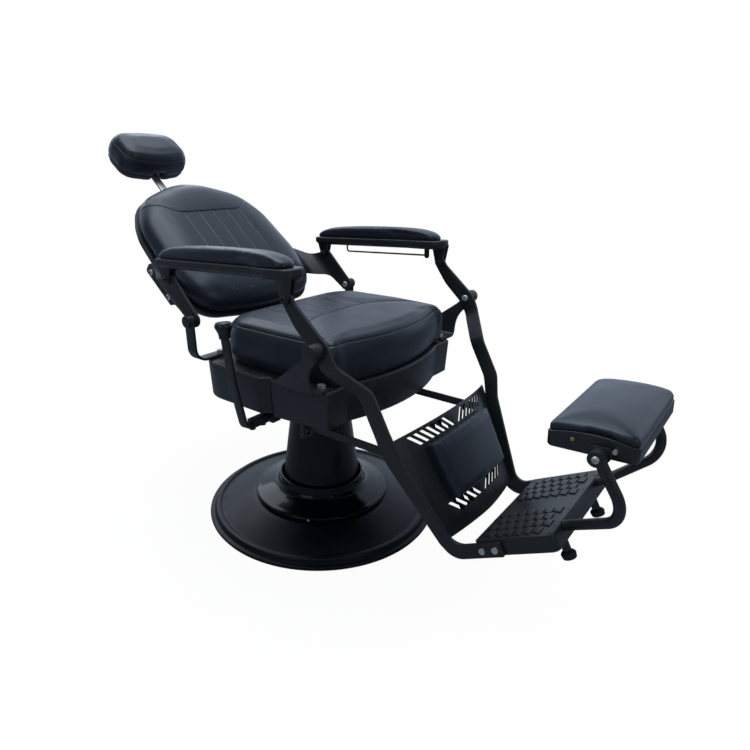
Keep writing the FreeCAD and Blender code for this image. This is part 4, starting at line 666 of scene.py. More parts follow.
class Workshop:
    """Node trees for stitches and welts along lines, and for bolt heads and tread bars at points."""

    def __init__(self) -> None:
        """Build the trees."""
        self.stitches = self._stitch_tree()
        self.welts = self._welt_tree()
        self.heads = self._head_tree()

    @staticmethod
    def _stitch_tree() -> NodeTool:
        """Tree that lays short rounded stitches along edges.

        Returns:
            The finished tree.
        """
        tool = NodeTool("stitch_row", {"Pitch": "NodeSocketFloat", "Length": "NodeSocketFloat",
                                       "Radius": "NodeSocketFloat", "Material": "NodeSocketMaterial"})
        graph = tool.graph
        begin = tool.start.outputs
        line = graph.add("GeometryNodeMeshToCurve", {"Mesh": begin["Geometry"]})
        beat = graph.add("GeometryNodeResampleCurve", {"Curve": line.outputs[0], "Length": begin["Pitch"]},
                         mode="LENGTH")
        bead = graph.add("GeometryNodeMeshUVSphere", {"Segments": 6, "Rings": 4, "Radius": 1.0})
        half = graph.math("MULTIPLY", begin["Length"], 0.5)
        size = graph.add("ShaderNodeCombineXYZ", {0: begin["Radius"], 1: begin["Radius"], 2: half})
        shaped = graph.add("GeometryNodeTransform", {"Geometry": bead.outputs["Mesh"],
                                                     "Scale": size.outputs[0]})
        along = graph.add("GeometryNodeInputTangent")
        turn = graph.add("FunctionNodeAlignRotationToVector", {"Vector": along.outputs[0]}, axis="Z")
        laid = graph.add("GeometryNodeInstanceOnPoints", {"Points": beat.outputs[0],
                                                          "Instance": shaped.outputs[0],
                                                          "Rotation": turn.outputs[0]})
        tool.close(laid.outputs[0])
        return tool

    @staticmethod
    def _welt_tree() -> NodeTool:
        """Tree that lays a round welt along edges.

        Returns:
            The finished tree.
        """
        tool = NodeTool("welt_tube", {"Step": "NodeSocketFloat", "Radius": "NodeSocketFloat",
                                      "Material": "NodeSocketMaterial"})
        graph = tool.graph
        begin = tool.start.outputs
        line = graph.add("GeometryNodeMeshToCurve", {"Mesh": begin["Geometry"]})
        beat = graph.add("GeometryNodeResampleCurve", {"Curve": line.outputs[0], "Length": begin["Step"]},
                         mode="LENGTH")
        ring = graph.add("GeometryNodeCurvePrimitiveCircle", {"Resolution": 10, "Radius": begin["Radius"]})
        tube = graph.add("GeometryNodeCurveToMesh", {"Curve": beat.outputs[0],
                                                     "Profile Curve": ring.outputs[0], "Fill Caps": True})
        tool.close(tube.outputs[0])
        return tool

    @staticmethod
    def _head_tree() -> NodeTool:
        """Tree that sets a sized and turned head on every point.

        Returns:
            The finished tree.
        """
        tool = NodeTool("bolt_heads", {"Head": "NodeSocketObject", "Material": "NodeSocketMaterial"})
        graph = tool.graph
        begin = tool.start.outputs
        spots = graph.add("GeometryNodeMeshToPoints", {"Mesh": begin["Geometry"]})
        head = graph.add("GeometryNodeObjectInfo", {"Object": begin["Head"]})
        axis = graph.add("GeometryNodeInputNamedAttribute", {"Name": "axis"}, data_type="FLOAT_VECTOR")
        size = graph.add("GeometryNodeInputNamedAttribute", {"Name": "size"}, data_type="FLOAT_VECTOR")
        turn = graph.add("FunctionNodeAlignRotationToVector", {"Vector": axis.outputs[0]}, axis="Z")
        laid = graph.add("GeometryNodeInstanceOnPoints", {"Points": spots.outputs[0],
                                                          "Instance": head.outputs["Geometry"],
                                                          "Rotation": turn.outputs[0],
                                                          "Scale": size.outputs[0]})
        tool.close(laid.outputs[0])
        return tool


def line_mesh(paths: Sequence[np.ndarray], closed: bool) -> bpy.types.Mesh:
    """Mesh of bare edges along paths.

    Args:
        paths: Points of each path.
        closed: Whether each path returns to its start.

    Returns:
        The edge mesh.
    """
    points: List[Tuple[float, ...]] = []
    edges: List[Tuple[int, int]] = []
    for path in paths:
        first = len(points)
        points.extend(map(tuple, path))
        edges.extend((first + k, first + k + 1) for k in range(len(path) - 1))
        if closed:
            edges.append((len(points) - 1, first))
    mesh = bpy.data.meshes.new("guide")
    mesh.from_pydata(points, edges, [])
    return mesh


def resampled(path: np.ndarray, step: float) -> np.ndarray:
    """Path with points at an even step along its corners.

    Args:
        path: Corners of the path.
        step: Distance between points.

    Returns:
        The new points.
    """
    runs = np.linalg.norm(np.diff(path, axis=0), axis=1)
    along = np.concatenate([[0.0], np.cumsum(runs)])
    count = max(2, int(round(along[-1] / step)) + 1)
    marks = np.linspace(0.0, along[-1], count)
    return np.stack([np.interp(marks, along, path[:, k]) for k in range(path.shape[1])], axis=1)


def eased(path: np.ndarray, rounds: int) -> np.ndarray:
    """Path with its corners cut round.

    Args:
        path: Corners of the path.
        rounds: How often the corners are cut.

    Returns:
        The rounder path.
    """
    for _ in range(rounds):
        inner = [path[:1]]
        for first, second in zip(path[:-1], path[1:]):
            inner.append(np.stack([(1.0 - CORNER_CUT) * first + CORNER_CUT * second,
                                   CORNER_CUT * first + (1.0 - CORNER_CUT) * second]))
        inner.append(path[-1:])
        path = np.concatenate(inner)
    return path


def slice_loops(mesh: bpy.types.Mesh, stand: Stand, height: float) -> List[np.ndarray]:
    """Closed lines where a level of a local frame cuts a mesh.

    Args:
        mesh: Closed mesh.
        stand: Local frame.
        height: Level along the frame's Z.

    Returns:
        Points of each loop, in order.
    """
    shape = bmesh.new()
    shape.from_mesh(mesh)
    normal = stand.matrix()[:, 2]
    place = stand.outside(np.array([[0.0, 0.0, height]]))[0]
    cut = bmesh.ops.bisect_plane(shape, geom=shape.verts[:] + shape.edges[:] + shape.faces[:],
                                 dist=CUT_REACH, plane_co=place, plane_no=normal)
    links: Dict[bmesh.types.BMVert, List[bmesh.types.BMVert]] = {}
    for edge in (g for g in cut["geom_cut"] if isinstance(g, bmesh.types.BMEdge)):
        first, second = edge.verts
        links.setdefault(first, []).append(second)
        links.setdefault(second, []).append(first)
    loops = []
    seen = set()
    for start in links:
        if start in seen:
            continue
        loop = [start]
        seen.add(start)
        step = next((v for v in links[start] if v not in seen), None)
        while step is not None:
            loop.append(step)
            seen.add(step)
            step = next((v for v in links[step] if v not in seen), None)
        points = np.array([v.co[:] for v in loop])
        around = np.concatenate([points, points[:1]])
        if np.linalg.norm(np.diff(around, axis=0), axis=1).sum() > SHORTEST_LOOP:
            loops.append(resampled(around, LOOP_STEP)[:-1])
    shape.free()
    return loops


def outline_with_arcs(corners: Sequence[Point], step: float) -> np.ndarray:
    """Closed outline with rounded corners and evenly divided runs.

    Args:
        corners: Radius, height and rounding of each corner, in millimetres.
        step: Longest run between two points.

    Returns:
        Points of the outline.
    """
    spots = np.array([c[:2] for c in corners])
    path: List[np.ndarray] = []
    for index, (_, _, rounding) in enumerate(corners):
        here = spots[index]
        back = spots[index - 1] - here
        ahead = spots[(index + 1) % len(spots)] - here
        back = back / np.linalg.norm(back)
        ahead = ahead / np.linalg.norm(ahead)
        half = math.acos(float(np.clip(back @ ahead, -1.0, 1.0))) / 2
        if rounding == 0:
            path.append(here)
            continue
        reach = rounding / math.tan(half)
        middle = here + (back + ahead) / np.linalg.norm(back + ahead) * rounding / math.sin(half)
        first = here + back * reach - middle
        last = here + ahead * reach - middle
        turn = math.acos(float(np.clip(first @ last / rounding ** 2, -1.0, 1.0)))
        for share in np.linspace(0.0, 1.0, ARC_POINTS):
            mixed = math.sin((1 - share) * turn) * first + math.sin(share * turn) * last
            path.append(middle + mixed / math.sin(turn))
    around = np.array(path + path[:1])
    filled = [np.linspace(first, last, max(2, int(np.linalg.norm(last - first) / step) + 2))[:-1]
              for first, last in zip(around[:-1], around[1:])]
    return np.concatenate(filled)


def turned_mesh(name: str, corners: Sequence[Point], steps: int) -> bpy.types.Mesh:
    """Mesh of an outline turned about the column's axis.

    Args:
        name: Name of the mesh.
        corners: Radius, height and rounding of each corner, in millimetres.
        steps: Number of steps round the axis.

    Returns:
        The closed mesh.
    """
    outline = outline_with_arcs(corners, LONGEST_RUN) * MM
    shape = bmesh.new()
    rings = []
    for k in range(steps):
        a = 2 * math.pi * k / steps
        rings.append([shape.verts.new((r * math.cos(a), r * math.sin(a), z)) for r, z in outline])
    count = len(outline)
    for k in range(steps):
        here, there = rings[k], rings[(k + 1) % steps]
        for j in range(count):
            shape.faces.new((here[j], there[j], there[(j + 1) % count], here[(j + 1) % count]))
    bmesh.ops.remove_doubles(shape, verts=shape.verts, dist=TURNED_MERGE)
    bmesh.ops.dissolve_degenerate(shape, edges=shape.edges, dist=TURNED_THIN)
    bmesh.ops.recalc_face_normals(shape, faces=shape.faces)
    return mesh_of(shape, name)


@dataclass
class Upholstery:
    """One padded piece: its filling, seams, welts and stitches.

    Attributes:
        node: Solid that it stands for.
        stand: Local frame with Z out of the sat-on face.
        voxel: Grid of its first mesh.
        puff: How far the filling stands proud of the solid.
        fill: Tightness of the filling; not used.
        lines: Sewn lines in the frame's plan.
        rims: Levels of sewn rims round the cushion.
        welts: Levels of round welts.
        floor: Level of its flat resting face, if it has one.
        ease: Smoothing steps that round its form.
        crown: Rise of its face at the middle of its length.
        swell: How far it stands out in front and all round.
        under: How far it stands out at its rear.
        crisp: How much fuller its face is above the first rim.
        form: Its own first mesh, where the cover follows the piece that carries it.
    """

    node: str
    stand: Stand
    voxel: float
    puff: float
    fill: float
    lines: Tuple[Tuple[Spot, ...], ...] = ()
    rims: Tuple[float, ...] = ()
    welts: Tuple[float, ...] = ()
    floor: Optional[float] = None
    ease: int = 8
    crown: float = 0.0
    swell: float = 0.0
    under: float = 0.0
    crisp: float = 0.0
    form: Optional[bpy.types.Mesh] = None

    FACE_FROM = 0.3
    FACE_SPAN = 0.45
    REAR_BELOW = -0.5
    SIDE_SPAN = 0.4
    UNDER_FROM = 0.2
    HELD_REACH = 0.6
    CORNER_ROUNDS = 3
    SEAM_STEP = 2.0 * MM
    LAID_FROM = 0.9
    CLOTH = {"quality": 5, "mass": 0.3, "use_pressure": True, "uniform_pressure_force": 4.0,
             "tension_stiffness": 15.0, "compression_stiffness": 15.0, "bending_stiffness": 0.5,
             "vertex_group_mass": "held"}
    EASE_FACTOR = 0.5
    ALL_SMOOTH = 180.0
    SHORTEST_ROW = 3
    SHRINK = 1.2 * MM
    TAUT_STEPS = 5
    REGAIN_ROUNDS = 4
    ROLL_WIDTH = 11.0 * MM
    FINE_REACH = 6.0 * MM
    GROOVE_DEPTH = 2.0 * MM
    GROOVE_WIDTH = 1.7 * MM
    RIM_DEPTH = 1.5 * MM
    STITCH_SIDE = 3.0 * MM
    STITCH_PITCH = 4.6 * MM
    STITCH_LENGTH = 3.4 * MM
    STITCH_RADIUS = 0.4 * MM
    WELT_RADIUS = 2.1 * MM
    WELT_STEP = 4.0 * MM
    FRAMES = 14

    def build(self, tools: Workshop) -> bpy.types.Object:
        """Make the cushion with its seams.

        Args:
            tools: Node trees for the sewing.

        Returns:
            The padded piece.
        """
        piece = new_object(self.node + "_hide", self.form or merged_copy(self.node))
        solid = self._search_tree(piece.data)
        grid = piece.modifiers.new("grid", "REMESH")
        grid.mode = "VOXEL"
        grid.voxel_size = self.voxel
        self._add_ease(piece, self.ease)
        self._regain(applied(piece), solid)
        self._fill(piece)
        self._add_ease(piece, 1)
        finer = piece.modifiers.new("finer", "SUBSURF")
        finer.levels = 1
        finer.render_levels = 1
        mesh = applied(piece)
        plain = self._search_tree(mesh)
        seams = [self._laid(plain, eased(np.array(line), self.CORNER_ROUNDS)) for line in self.lines]
        rims = [loop for level in self.rims for loop in slice_loops(mesh, self.stand, level)]
        self._refine(mesh, seams + rims)
        self._sink(mesh, seams, self.GROOVE_DEPTH)
        self._sink(mesh, rims, self.RIM_DEPTH)
        self._rest(mesh)
        smooth_faces(mesh, self.ALL_SMOOTH)
        dress(piece, HIDE)
        body = body_of_node(self.node)
        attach(piece, body)
        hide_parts(self.node)
        self._sew(mesh, tools, body)
        LOG.info("cushion %s: %d faces", self.node, len(mesh.polygons))
        return piece

    @staticmethod
    def _search_tree(mesh: bpy.types.Mesh) -> BVHTree:
        """Search tree of a mesh's faces."""
        return BVHTree.FromPolygons([v.co for v in mesh.vertices], [p.vertices[:] for p in mesh.polygons])

    @staticmethod
    def _mark_tree(paths: Sequence[np.ndarray]) -> KDTree:
        """Search tree of the points of paths.

        Args:
            paths: Points of each path.

        Returns:
            The search tree.
        """
        marks = np.concatenate(list(paths))
        tree = KDTree(len(marks))
        for index, mark in enumerate(marks):
            tree.insert(mark, index)
        tree.balance()
        return tree

    @staticmethod
    def _add_ease(piece: bpy.types.Object, steps: int) -> None:
        """Add a smoothing modifier.

        Args:
            piece: Piece to smooth.
            steps: Rounds of smoothing.
        """
        ease = piece.modifiers.new("ease", "SMOOTH")
        ease.factor = Upholstery.EASE_FACTOR
        ease.iterations = steps

    def _regain(self, mesh: bpy.types.Mesh, solid: BVHTree) -> None:
        """Move an eased cover back out to the solid's surface, in a smooth way.

        Args:
            mesh: Eased cover.
            solid: Search tree of the solid.
        """
        points = read_points(mesh)
        normals = read_normals(mesh)
        nearest = np.array([solid.find_nearest(Vector(p))[0][:] for p in points])
        lost = self._levelled(mesh, np.einsum("ij,ij->i", nearest - points, normals),
                              self.ease * self.REGAIN_ROUNDS)
        write_points(mesh, points + normals * lost[:, None])

    @staticmethod
    def _levelled(mesh: bpy.types.Mesh, values: np.ndarray, steps: int) -> np.ndarray:
        """Values of a mesh's points, evened out between neighbours.

        Args:
            mesh: Mesh that links the points.
            values: One value for each point.
            steps: Rounds of evening.

        Returns:
            The evened values.
        """
        ends = np.empty(len(mesh.edges) * 2, np.int32)
        mesh.edges.foreach_get("vertices", ends)
        first, second = ends.reshape(-1, 2).T
        count = len(values)
        links = np.bincount(ends, minlength=count)
        for _ in range(steps):
            total = np.bincount(first, values[second], count) + np.bincount(second, values[first], count)
            values = 0.5 * values + 0.5 * total / links
        return values

    def _fill(self, piece: bpy.types.Object) -> None:
        """Args:
            piece: Cover as an object.
        """
        mesh = piece.data
        normals = read_normals(mesh)
        facing = normals @ self.stand.matrix()[:, 2]
        share = np.clip((facing - self.FACE_FROM) / self.FACE_SPAN, 0.0, 1.0)
        whole = self._grown(read_points(mesh), normals, facing, share)
        near = self._seam_distance(whole)
        rear = facing < self.REAR_BELOW
        shrunk = np.where(rear, 0.0, self.SHRINK)
        slack = whole - normals * shrunk[:, None]
        reach = shrunk + self.puff * share
        held = rear | ((near < self.HELD_REACH * self.voxel) & (facing > self.FACE_FROM))
        write_points(mesh, slack)
        move = self._simulate(piece, held) - slack
        rise = np.clip(np.einsum("ij,ij->i", move, normals), 0.0, reach)
        full = slack + normals * self._levelled(mesh, rise, self.TAUT_STEPS)[:, None]
        write_points(mesh, full)

    def _grown(self, points: np.ndarray, normals: np.ndarray, facing: np.ndarray,
               share: np.ndarray) -> np.ndarray:
        """Points with the cushion's swell and crown.

        Args:
            points: Points of the cover.
            normals: Their normals.
            facing: How far each normal points out of the sat-on face.
            share: Share of each point in that face.

        Returns:
            The moved points.
        """
        inside = self.stand.inside(points)
        low = inside.min(axis=0)
        high = inside.max(axis=0)
        share_up = (inside[:, 1] - low[1]) / (high[1] - low[1])
        bow = 1.0 - (2.0 * share_up - 1.0) ** 2
        if self.crisp:
            rim = self.rims[0]
            rise = np.clip((inside[:, 2] - rim) / (high[2] - rim), 0.0, 1.0)
            fuller = rim + (high[2] - rim) * (1.0 - (1.0 - rise) ** (1.0 + self.crisp))
            inside[:, 2] = np.where(rise > 0.0, fuller, inside[:, 2])
        out = self.swell * np.clip((facing - self.REAR_BELOW) / self.SIDE_SPAN, 0.0, 1.0)
        out += self.crown * bow * share
        out += self.under * np.clip((-facing - self.UNDER_FROM) / self.SIDE_SPAN, 0.0, 1.0)
        return self.stand.outside(inside) + normals * out[:, None]

    def _seam_distance(self, points: np.ndarray) -> np.ndarray:
        """Distance of each point from the sewn lines in the frame's plan.

        Args:
            points: Points of the cover.

        Returns:
            One distance for each point.
        """
        plan = self.stand.inside(points)[:, :2]
        near = np.full(len(points), 1.0)
        for line in self.lines:
            for mark in resampled(eased(np.array(line), self.CORNER_ROUNDS), 0.5 * self.voxel):
                near = np.minimum(near, np.linalg.norm(plan - mark, axis=1))
        return near

    def _simulate(self, piece: bpy.types.Object, held: np.ndarray) -> np.ndarray:
        """Points of the cover after pressure has filled it.

        Args:
            piece: Cover as an object.
            held: Which points can't move.

        Returns:
            The moved points.
        """
        group = piece.vertex_groups.new(name="held")
        group.add(np.flatnonzero(held).tolist(), 1.0, "REPLACE")
        cloth = piece.modifiers.new("filling", "CLOTH")
        for setting, value in self.CLOTH.items():
            setattr(cloth.settings, setting, value)
        cloth.settings.effector_weights.gravity = 0.0
        cloth.collision_settings.use_collision = False
        scene = bpy.context.scene
        for number in range(1, self.FRAMES + 1):
            scene.frame_set(number)
        graph = bpy.context.evaluated_depsgraph_get()
        moved = read_points(piece.evaluated_get(graph).data)
        piece.modifiers.clear()
        piece.vertex_groups.clear()
        scene.frame_set(1)
        return moved

    def _laid(self, surface: BVHTree, plan: np.ndarray) -> np.ndarray:
        """Plan line laid on the cushion's face.

        Args:
            surface: Search tree of the cushion's faces.
            plan: Points in the frame's plan.

        Returns:
            Points on the face.
        """
        down = Vector(-self.stand.matrix()[:, 2])
        laid = []
        for x, y in resampled(plan, self.SEAM_STEP):
            above = Vector(self.stand.outside(np.array([[x, y, self.LAID_FROM]]))[0])
            hit = surface.ray_cast(above, down)[0]
            if hit is not None:
                laid.append(hit[:])
        return np.array(laid)

    def _refine(self, mesh: bpy.types.Mesh, paths: Sequence[np.ndarray]) -> None:
        """Divide the faces beside sewn lines, so that the seams come out thin.

        Args:
            mesh: Mesh of the cover.
            paths: Sewn lines.
        """
        if not paths:
            return
        tree = self._mark_tree(paths)
        shape = bmesh.new()
        shape.from_mesh(mesh)
        close = {v for v in shape.verts if tree.find(v.co)[2] < self.FINE_REACH}
        edges = [e for e in shape.edges if e.verts[0] in close and e.verts[1] in close]
        bmesh.ops.subdivide_edges(shape, edges=edges, cuts=1, use_grid_fill=True)
        shape.to_mesh(mesh)
        shape.free()

    def _sink(self, mesh: bpy.types.Mesh, paths: Sequence[np.ndarray], depth: float) -> None:
        """Press sewn lines into the cushion.

        Args:
            mesh: Mesh of the cover.
            paths: Sewn lines.
            depth: Depth of the press.
        """
        if not paths:
            return
        tree = self._mark_tree(paths)
        points = read_points(mesh)
        normals = read_normals(mesh)
        away = np.array([tree.find(p)[2] for p in points])
        points -= normals * (depth * np.exp(-(away / self.GROOVE_WIDTH) ** 2))[:, None]
        write_points(mesh, points)

    def _rest(self, mesh: bpy.types.Mesh) -> None:
        """Keep the cushion on the face that carries it.

        Args:
            mesh: Mesh of the cover.
        """
        if self.floor is None:
            return
        inside = self.stand.inside(read_points(mesh))
        inside[:, 2] = np.maximum(inside[:, 2], self.floor)
        write_points(mesh, self.stand.outside(inside))

    def _sew(self, mesh: bpy.types.Mesh, tools: Workshop, body: str) -> None:
        """Lay the stitches and welts of this cushion.

        Args:
            mesh: Mesh of the cover.
            tools: Node trees for the sewing.
            body: Body that they ride on.
        """
        surface = self._search_tree(mesh)
        rows = []
        for line in self.lines:
            path = eased(np.array(line), self.CORNER_ROUNDS)
            run = np.gradient(path, axis=0)
            across = np.stack([-run[:, 1], run[:, 0]], axis=1)
            across /= np.maximum(np.linalg.norm(across, axis=1, keepdims=True), 1e-9)
            for side in (-1, 1):
                rows.append(self._laid(surface, path + across * side * self.STITCH_SIDE))
        rows = [row for row in rows if len(row) > self.SHORTEST_ROW]
        size = {"Pitch": self.STITCH_PITCH, "Length": self.STITCH_LENGTH, "Radius": self.STITCH_RADIUS,
                "Material": THREAD.material()}
        if rows:
            row = tools.stitches.run(self.node + "_stitches", line_mesh(rows, False), size)
            self._keep(row, THREAD, body)
        loops = []
        for level in self.rims:
            for side in (-1, 1):
                loops += slice_loops(mesh, self.stand, level + side * self.STITCH_SIDE)
        if loops:
            row = tools.stitches.run(self.node + "_rim_stitches", line_mesh(loops, True), size)
            self._keep(row, THREAD, body)
        welts = [loop for level in self.welts for loop in slice_loops(mesh, self.stand, level)]
        if welts:
            size = {"Step": self.WELT_STEP, "Radius": self.WELT_RADIUS, "Material": WELT.material()}
            self._keep(tools.welts.run(self.node + "_welt", line_mesh(welts, True), size), WELT, body)

    @staticmethod
    def _keep(piece: bpy.types.Object, finish: Finish, body: str) -> None:
        """Dress sewn work and let it ride with its cushion."""
        dress(piece, finish)
        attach(piece, body)


def mirror_line(half: Sequence[Spot]) -> Tuple[Spot, ...]:
    """Line across the middle from its +X half, which starts nearest the middle."""
    return tuple((-x, y) for x, y in reversed(half)) + tuple(half)


@dataclass
class Head:
    """One bolt head.

    Attributes:
        seat: Middle of its underside.
        way: Direction that it points.
        radius: Its radius.
        height: Its height.
    """

    seat: np.ndarray
    way: np.ndarray
    radius: float
    height: float


def node_heads(node: str, axis: Point) -> List[Head]:
    """Heads of a node's bolts, read from its solids.

    Args:
        node: Node of bolts that lie along one axis.
        axis: Their direction.

    Returns:
        Every bolt head of the node.
    """
    shape = bmesh.new()
    shape.from_mesh(merged_copy(node))
    line = np.array(axis) / np.linalg.norm(axis)
    found: List[Head] = []
    left = set(shape.verts)
    while left:
        grown = [left.pop()]
        island = list(grown)
        while grown:
            vertex = grown.pop()
            for edge in vertex.link_edges:
                other = edge.other_vert(vertex)
                if other in left:
                    left.remove(other)
                    grown.append(other)
                    island.append(other)
        found += bolt_heads(np.array([v.co[:] for v in island]), line)
    shape.free()
    return found


def bolt_heads(points: np.ndarray, axis: np.ndarray) -> List[Head]:
    """Heads of one bolt from its points.

    Args:
        points: All points of the bolt.
        axis: Its direction.

    Returns:
        Its heads, one at an end that is wide.
    """
    along = points @ axis
    flat = points - along[:, None] * axis
    middle = (flat.min(axis=0) + flat.max(axis=0)) / 2
    radius = np.linalg.norm(flat - middle, axis=1)
    wide = radius > WIDE_SHARE * radius.max()
    heads = []
    for tip, way in ((along.min(), -1.0), (along.max(), 1.0)):
        if not (wide & (np.abs(along - tip) < END_REACH)).any():
            continue
        near = along[wide & (np.abs(along - tip) < LONGEST_HEAD)]
        seat = near.max() if way < 0 else near.min()
        if abs(tip - seat) > LOWEST_HEAD:
            heads.append(Head(middle + axis * seat, axis * way, float(radius.max()), float(abs(tip - seat))))
    return heads


class SocketHead:
    """Domed bolt head with a six-sided socket, of unit radius and height."""

    SIDES = 24
    DOME = ((0.0, 0.0), (1.0, 0.0), (1.0, 0.34), (0.95, 0.58), (0.82, 0.8), (0.64, 0.95))
    SOCKET_R = 0.52
    SOCKET_LEVELS = (1.0, 0.25)
    SOCKET_FLOOR = 0.2
    MERGE_SHARE = 1e-5

    def mesh(self) -> bpy.types.Mesh:
        """Mesh of the head.

        Returns:
            The closed mesh.
        """
        rings = [[self._round(radius, height, k) for k in range(self.SIDES)] for radius, height in self.DOME]
        for height in self.SOCKET_LEVELS:
            rings.append([self._six_sided(height, k) for k in range(self.SIDES)])
        rings.append([self._round(0.0, self.SOCKET_FLOOR, k) for k in range(self.SIDES)])
        shape = bmesh.new()
        verts = [[shape.verts.new(p) for p in ring] for ring in rings]
        bridge(shape, verts)
        bmesh.ops.remove_doubles(shape, verts=shape.verts, dist=self.MERGE_SHARE)
        bmesh.ops.recalc_face_normals(shape, faces=shape.faces)
        return mesh_of(shape, "socket_head")

    def _round(self, radius: float, height: float, k: int) -> Point:
        """Point k of a round ring."""
        a = 2 * math.pi * k / self.SIDES
        return (radius * math.cos(a), radius * math.sin(a), height)

    def _six_sided(self, height: float, k: int) -> Point:
        """Point k of the socket's six-sided ring.

        Args:
            height: Level of the ring.
            k: Number of the point.

        Returns:
            The point.
        """
        sector = math.pi / 3
        a = 2 * math.pi * k / self.SIDES
        off = abs((a + sector / 2) % sector - sector / 2)
        return self._round(self.SOCKET_R * math.cos(sector / 2) / math.cos(sector / 2 - off), height, k)


@dataclass
class Assembly:
    """Base of the sub-assemblies: rounds the edges of solids, dresses them and sets heads on bolts.

    Attributes:
        tools: Node trees for sewing and heads.
    """

    tools: Workshop

    BEVEL_STEPS = 3
    BEVEL_FROM = 38.0
    SMOOTH_TO = 40.0

    def build(self) -> None:
        """Make the pieces of this sub-assembly."""
        raise NotImplementedError

    @staticmethod
    def soften(finish: Finish, edge: Edge, *nodes: str) -> None:
        """Replace nodes by copies with rounded edges.

        Args:
            finish: Finish of the copies.
            edge: Width of the rounding.
            *nodes: Nodes of the frame.
        """
        for node in nodes:
            Assembly.settle(new_object(node + "_finished", merged_copy(node)), node, finish, edge)

    @staticmethod
    def settle(piece: bpy.types.Object, node: str, finish: Finish, edge: Edge) -> None:
        """Round a piece's edges, dress it and let it stand for its node.

        Args:
            piece: Piece in the place of the node.
            node: Node that it replaces.
            finish: Its finish.
            edge: Width of the rounding.
        """
        bevel = piece.modifiers.new("edges", "BEVEL")
        bevel.width = edge.value
        bevel.segments = Assembly.BEVEL_STEPS
        bevel.limit_method = "ANGLE"
        bevel.angle_limit = math.radians(Assembly.BEVEL_FROM)
        mesh = applied(piece)
        smooth_faces(mesh, Assembly.SMOOTH_TO)
        dress(piece, finish)
        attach(piece, body_of_node(node))
        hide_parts(node)
        LOG.info("rigid %s: %d faces", node, len(mesh.polygons))

    def bolt(self, axis: Point, finish: Finish, *nodes: str) -> None:
        """Replace nodes of bolts by socket heads.

        Args:
            axis: Direction of the bolts.
            finish: Finish of the heads.
            *nodes: Nodes of the frame.
        """
        for node in nodes:
            piece = self.screws(node + "_heads", node_heads(node, axis), finish, body_of_node(node))
            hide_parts(node)

    def screws(self, name: str, heads: Sequence[Head], finish: Finish, body: str) -> bpy.types.Object:
        """Set socket heads at places.

        Args:
            name: Name of the piece.
            heads: Places and sizes.
            finish: Finish of the heads.
            body: Body that they ride on.

        Returns:
            One piece with all the heads.
        """
        pattern = new_object("socket_head", SocketHead().mesh())
        sizes = [(h.radius, h.radius, h.height) for h in heads]
        guide = self.marks([h.seat for h in heads], [h.way for h in heads], sizes)
        piece = self.tools.heads.run(name, guide, {"Head": pattern, "Material": finish.material()})
        bpy.data.objects.remove(pattern)
        dress(piece, finish)
        smooth_faces(piece.data, self.SMOOTH_TO)
        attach(piece, body)
        LOG.info("heads %s: %d", name, len(heads))
        return piece

    @staticmethod
    def marks(places: Sequence[np.ndarray], ways: Sequence[np.ndarray],
              sizes: Sequence[Point]) -> bpy.types.Mesh:
        """Mesh of points that carry a direction and a size each.

        Args:
            places: Places of the points.
            ways: Their directions.
            sizes: Their sizes.

        Returns:
            The mesh of points.
        """
        mesh = bpy.data.meshes.new("marks")
        mesh.from_pydata([tuple(p) for p in places], [], [])
        axis = mesh.attributes.new("axis", "FLOAT_VECTOR", "POINT")
        axis.data.foreach_set("vector", np.array(ways, np.float32).ravel())
        size = mesh.attributes.new("size", "FLOAT_VECTOR", "POINT")
        size.data.foreach_set("vector", np.array(sizes, np.float32).ravel())
        return mesh


@dataclass
class BaseColumn(Assembly):
    """Cast base, flange cover, pump and the shroud that rises with it.

    Attributes:
        base: Outline of the base: radius, height and rounding in millimetres.
        flange: Outline of the flange cover.
        cone: Outline of the shroud.
        steps: Steps round each turned piece.
        screw_turn: Place of the first set screw in the flange's lip, in degrees.
        screw_seat: Radius and height of the set screws' seats.
        screw_size: Radius and height of their heads.
    """

    base: Tuple[Point, ...] = (
        (0, 0, 0), (325, 0, 0), (330, 7.2, 4), (329, 12, 4), (317, 13, 0), (312, 25, 5), (301, 25, 5),
        (295, 21, 0), (200, 50, 0), (55.05, 51, 0), (55.05, 12, 0), (0, 12, 0))
    flange: Tuple[Point, ...] = (
        (189, 51, 0), (193, 51, 0), (193, 63, 5), (179, 66, 12), (125, 81, 24), (121, 111, 0), (117, 111, 0),
        (120, 76.2, 0), (177, 62, 0), (189, 59, 0))
    cone: Tuple[Point, ...] = (
        (111, 70, 0), (115, 70, 0), (73, 388, 3), (22, 388, 0), (22, 384, 0), (69, 384, 0))
    steps: int = 160
    screw_turn: float = -150.0
    screw_seat: Spot = (0.1926, 0.0568)
    screw_size: Spot = (3.4 * MM, 1.8 * MM)

    def build(self) -> None:
        """Make the base and the column."""
        for node, outline, finish in (("base_plate", self.base, CASTING),
                                      ("flange_cover", self.flange, GLOSS),
                                      ("cone_shroud", self.cone, GLOSS)):
            piece = new_object(node + "_finished", turned_mesh(node, outline, self.steps))
            self.settle(piece, node, finish, Edge.TURNED)
        self.soften(SATIN, Edge.SHEET, "pump_cylinder", "pump_gland", "top_plate")
        self.soften(STEEL, Edge.SHEET, "ram")
        heads = []
        for turn in (self.screw_turn, self.screw_turn + 180.0):
            a = math.radians(turn)
            way = np.array([math.cos(a), math.sin(a), 0.0])
            seat = way * self.screw_seat[0] + np.array([0.0, 0.0, self.screw_seat[1]])
            heads.append(Head(seat, way, *self.screw_size))
        self.screws("flange_set_screws", heads, STEEL, body_of_node("flange_cover"))


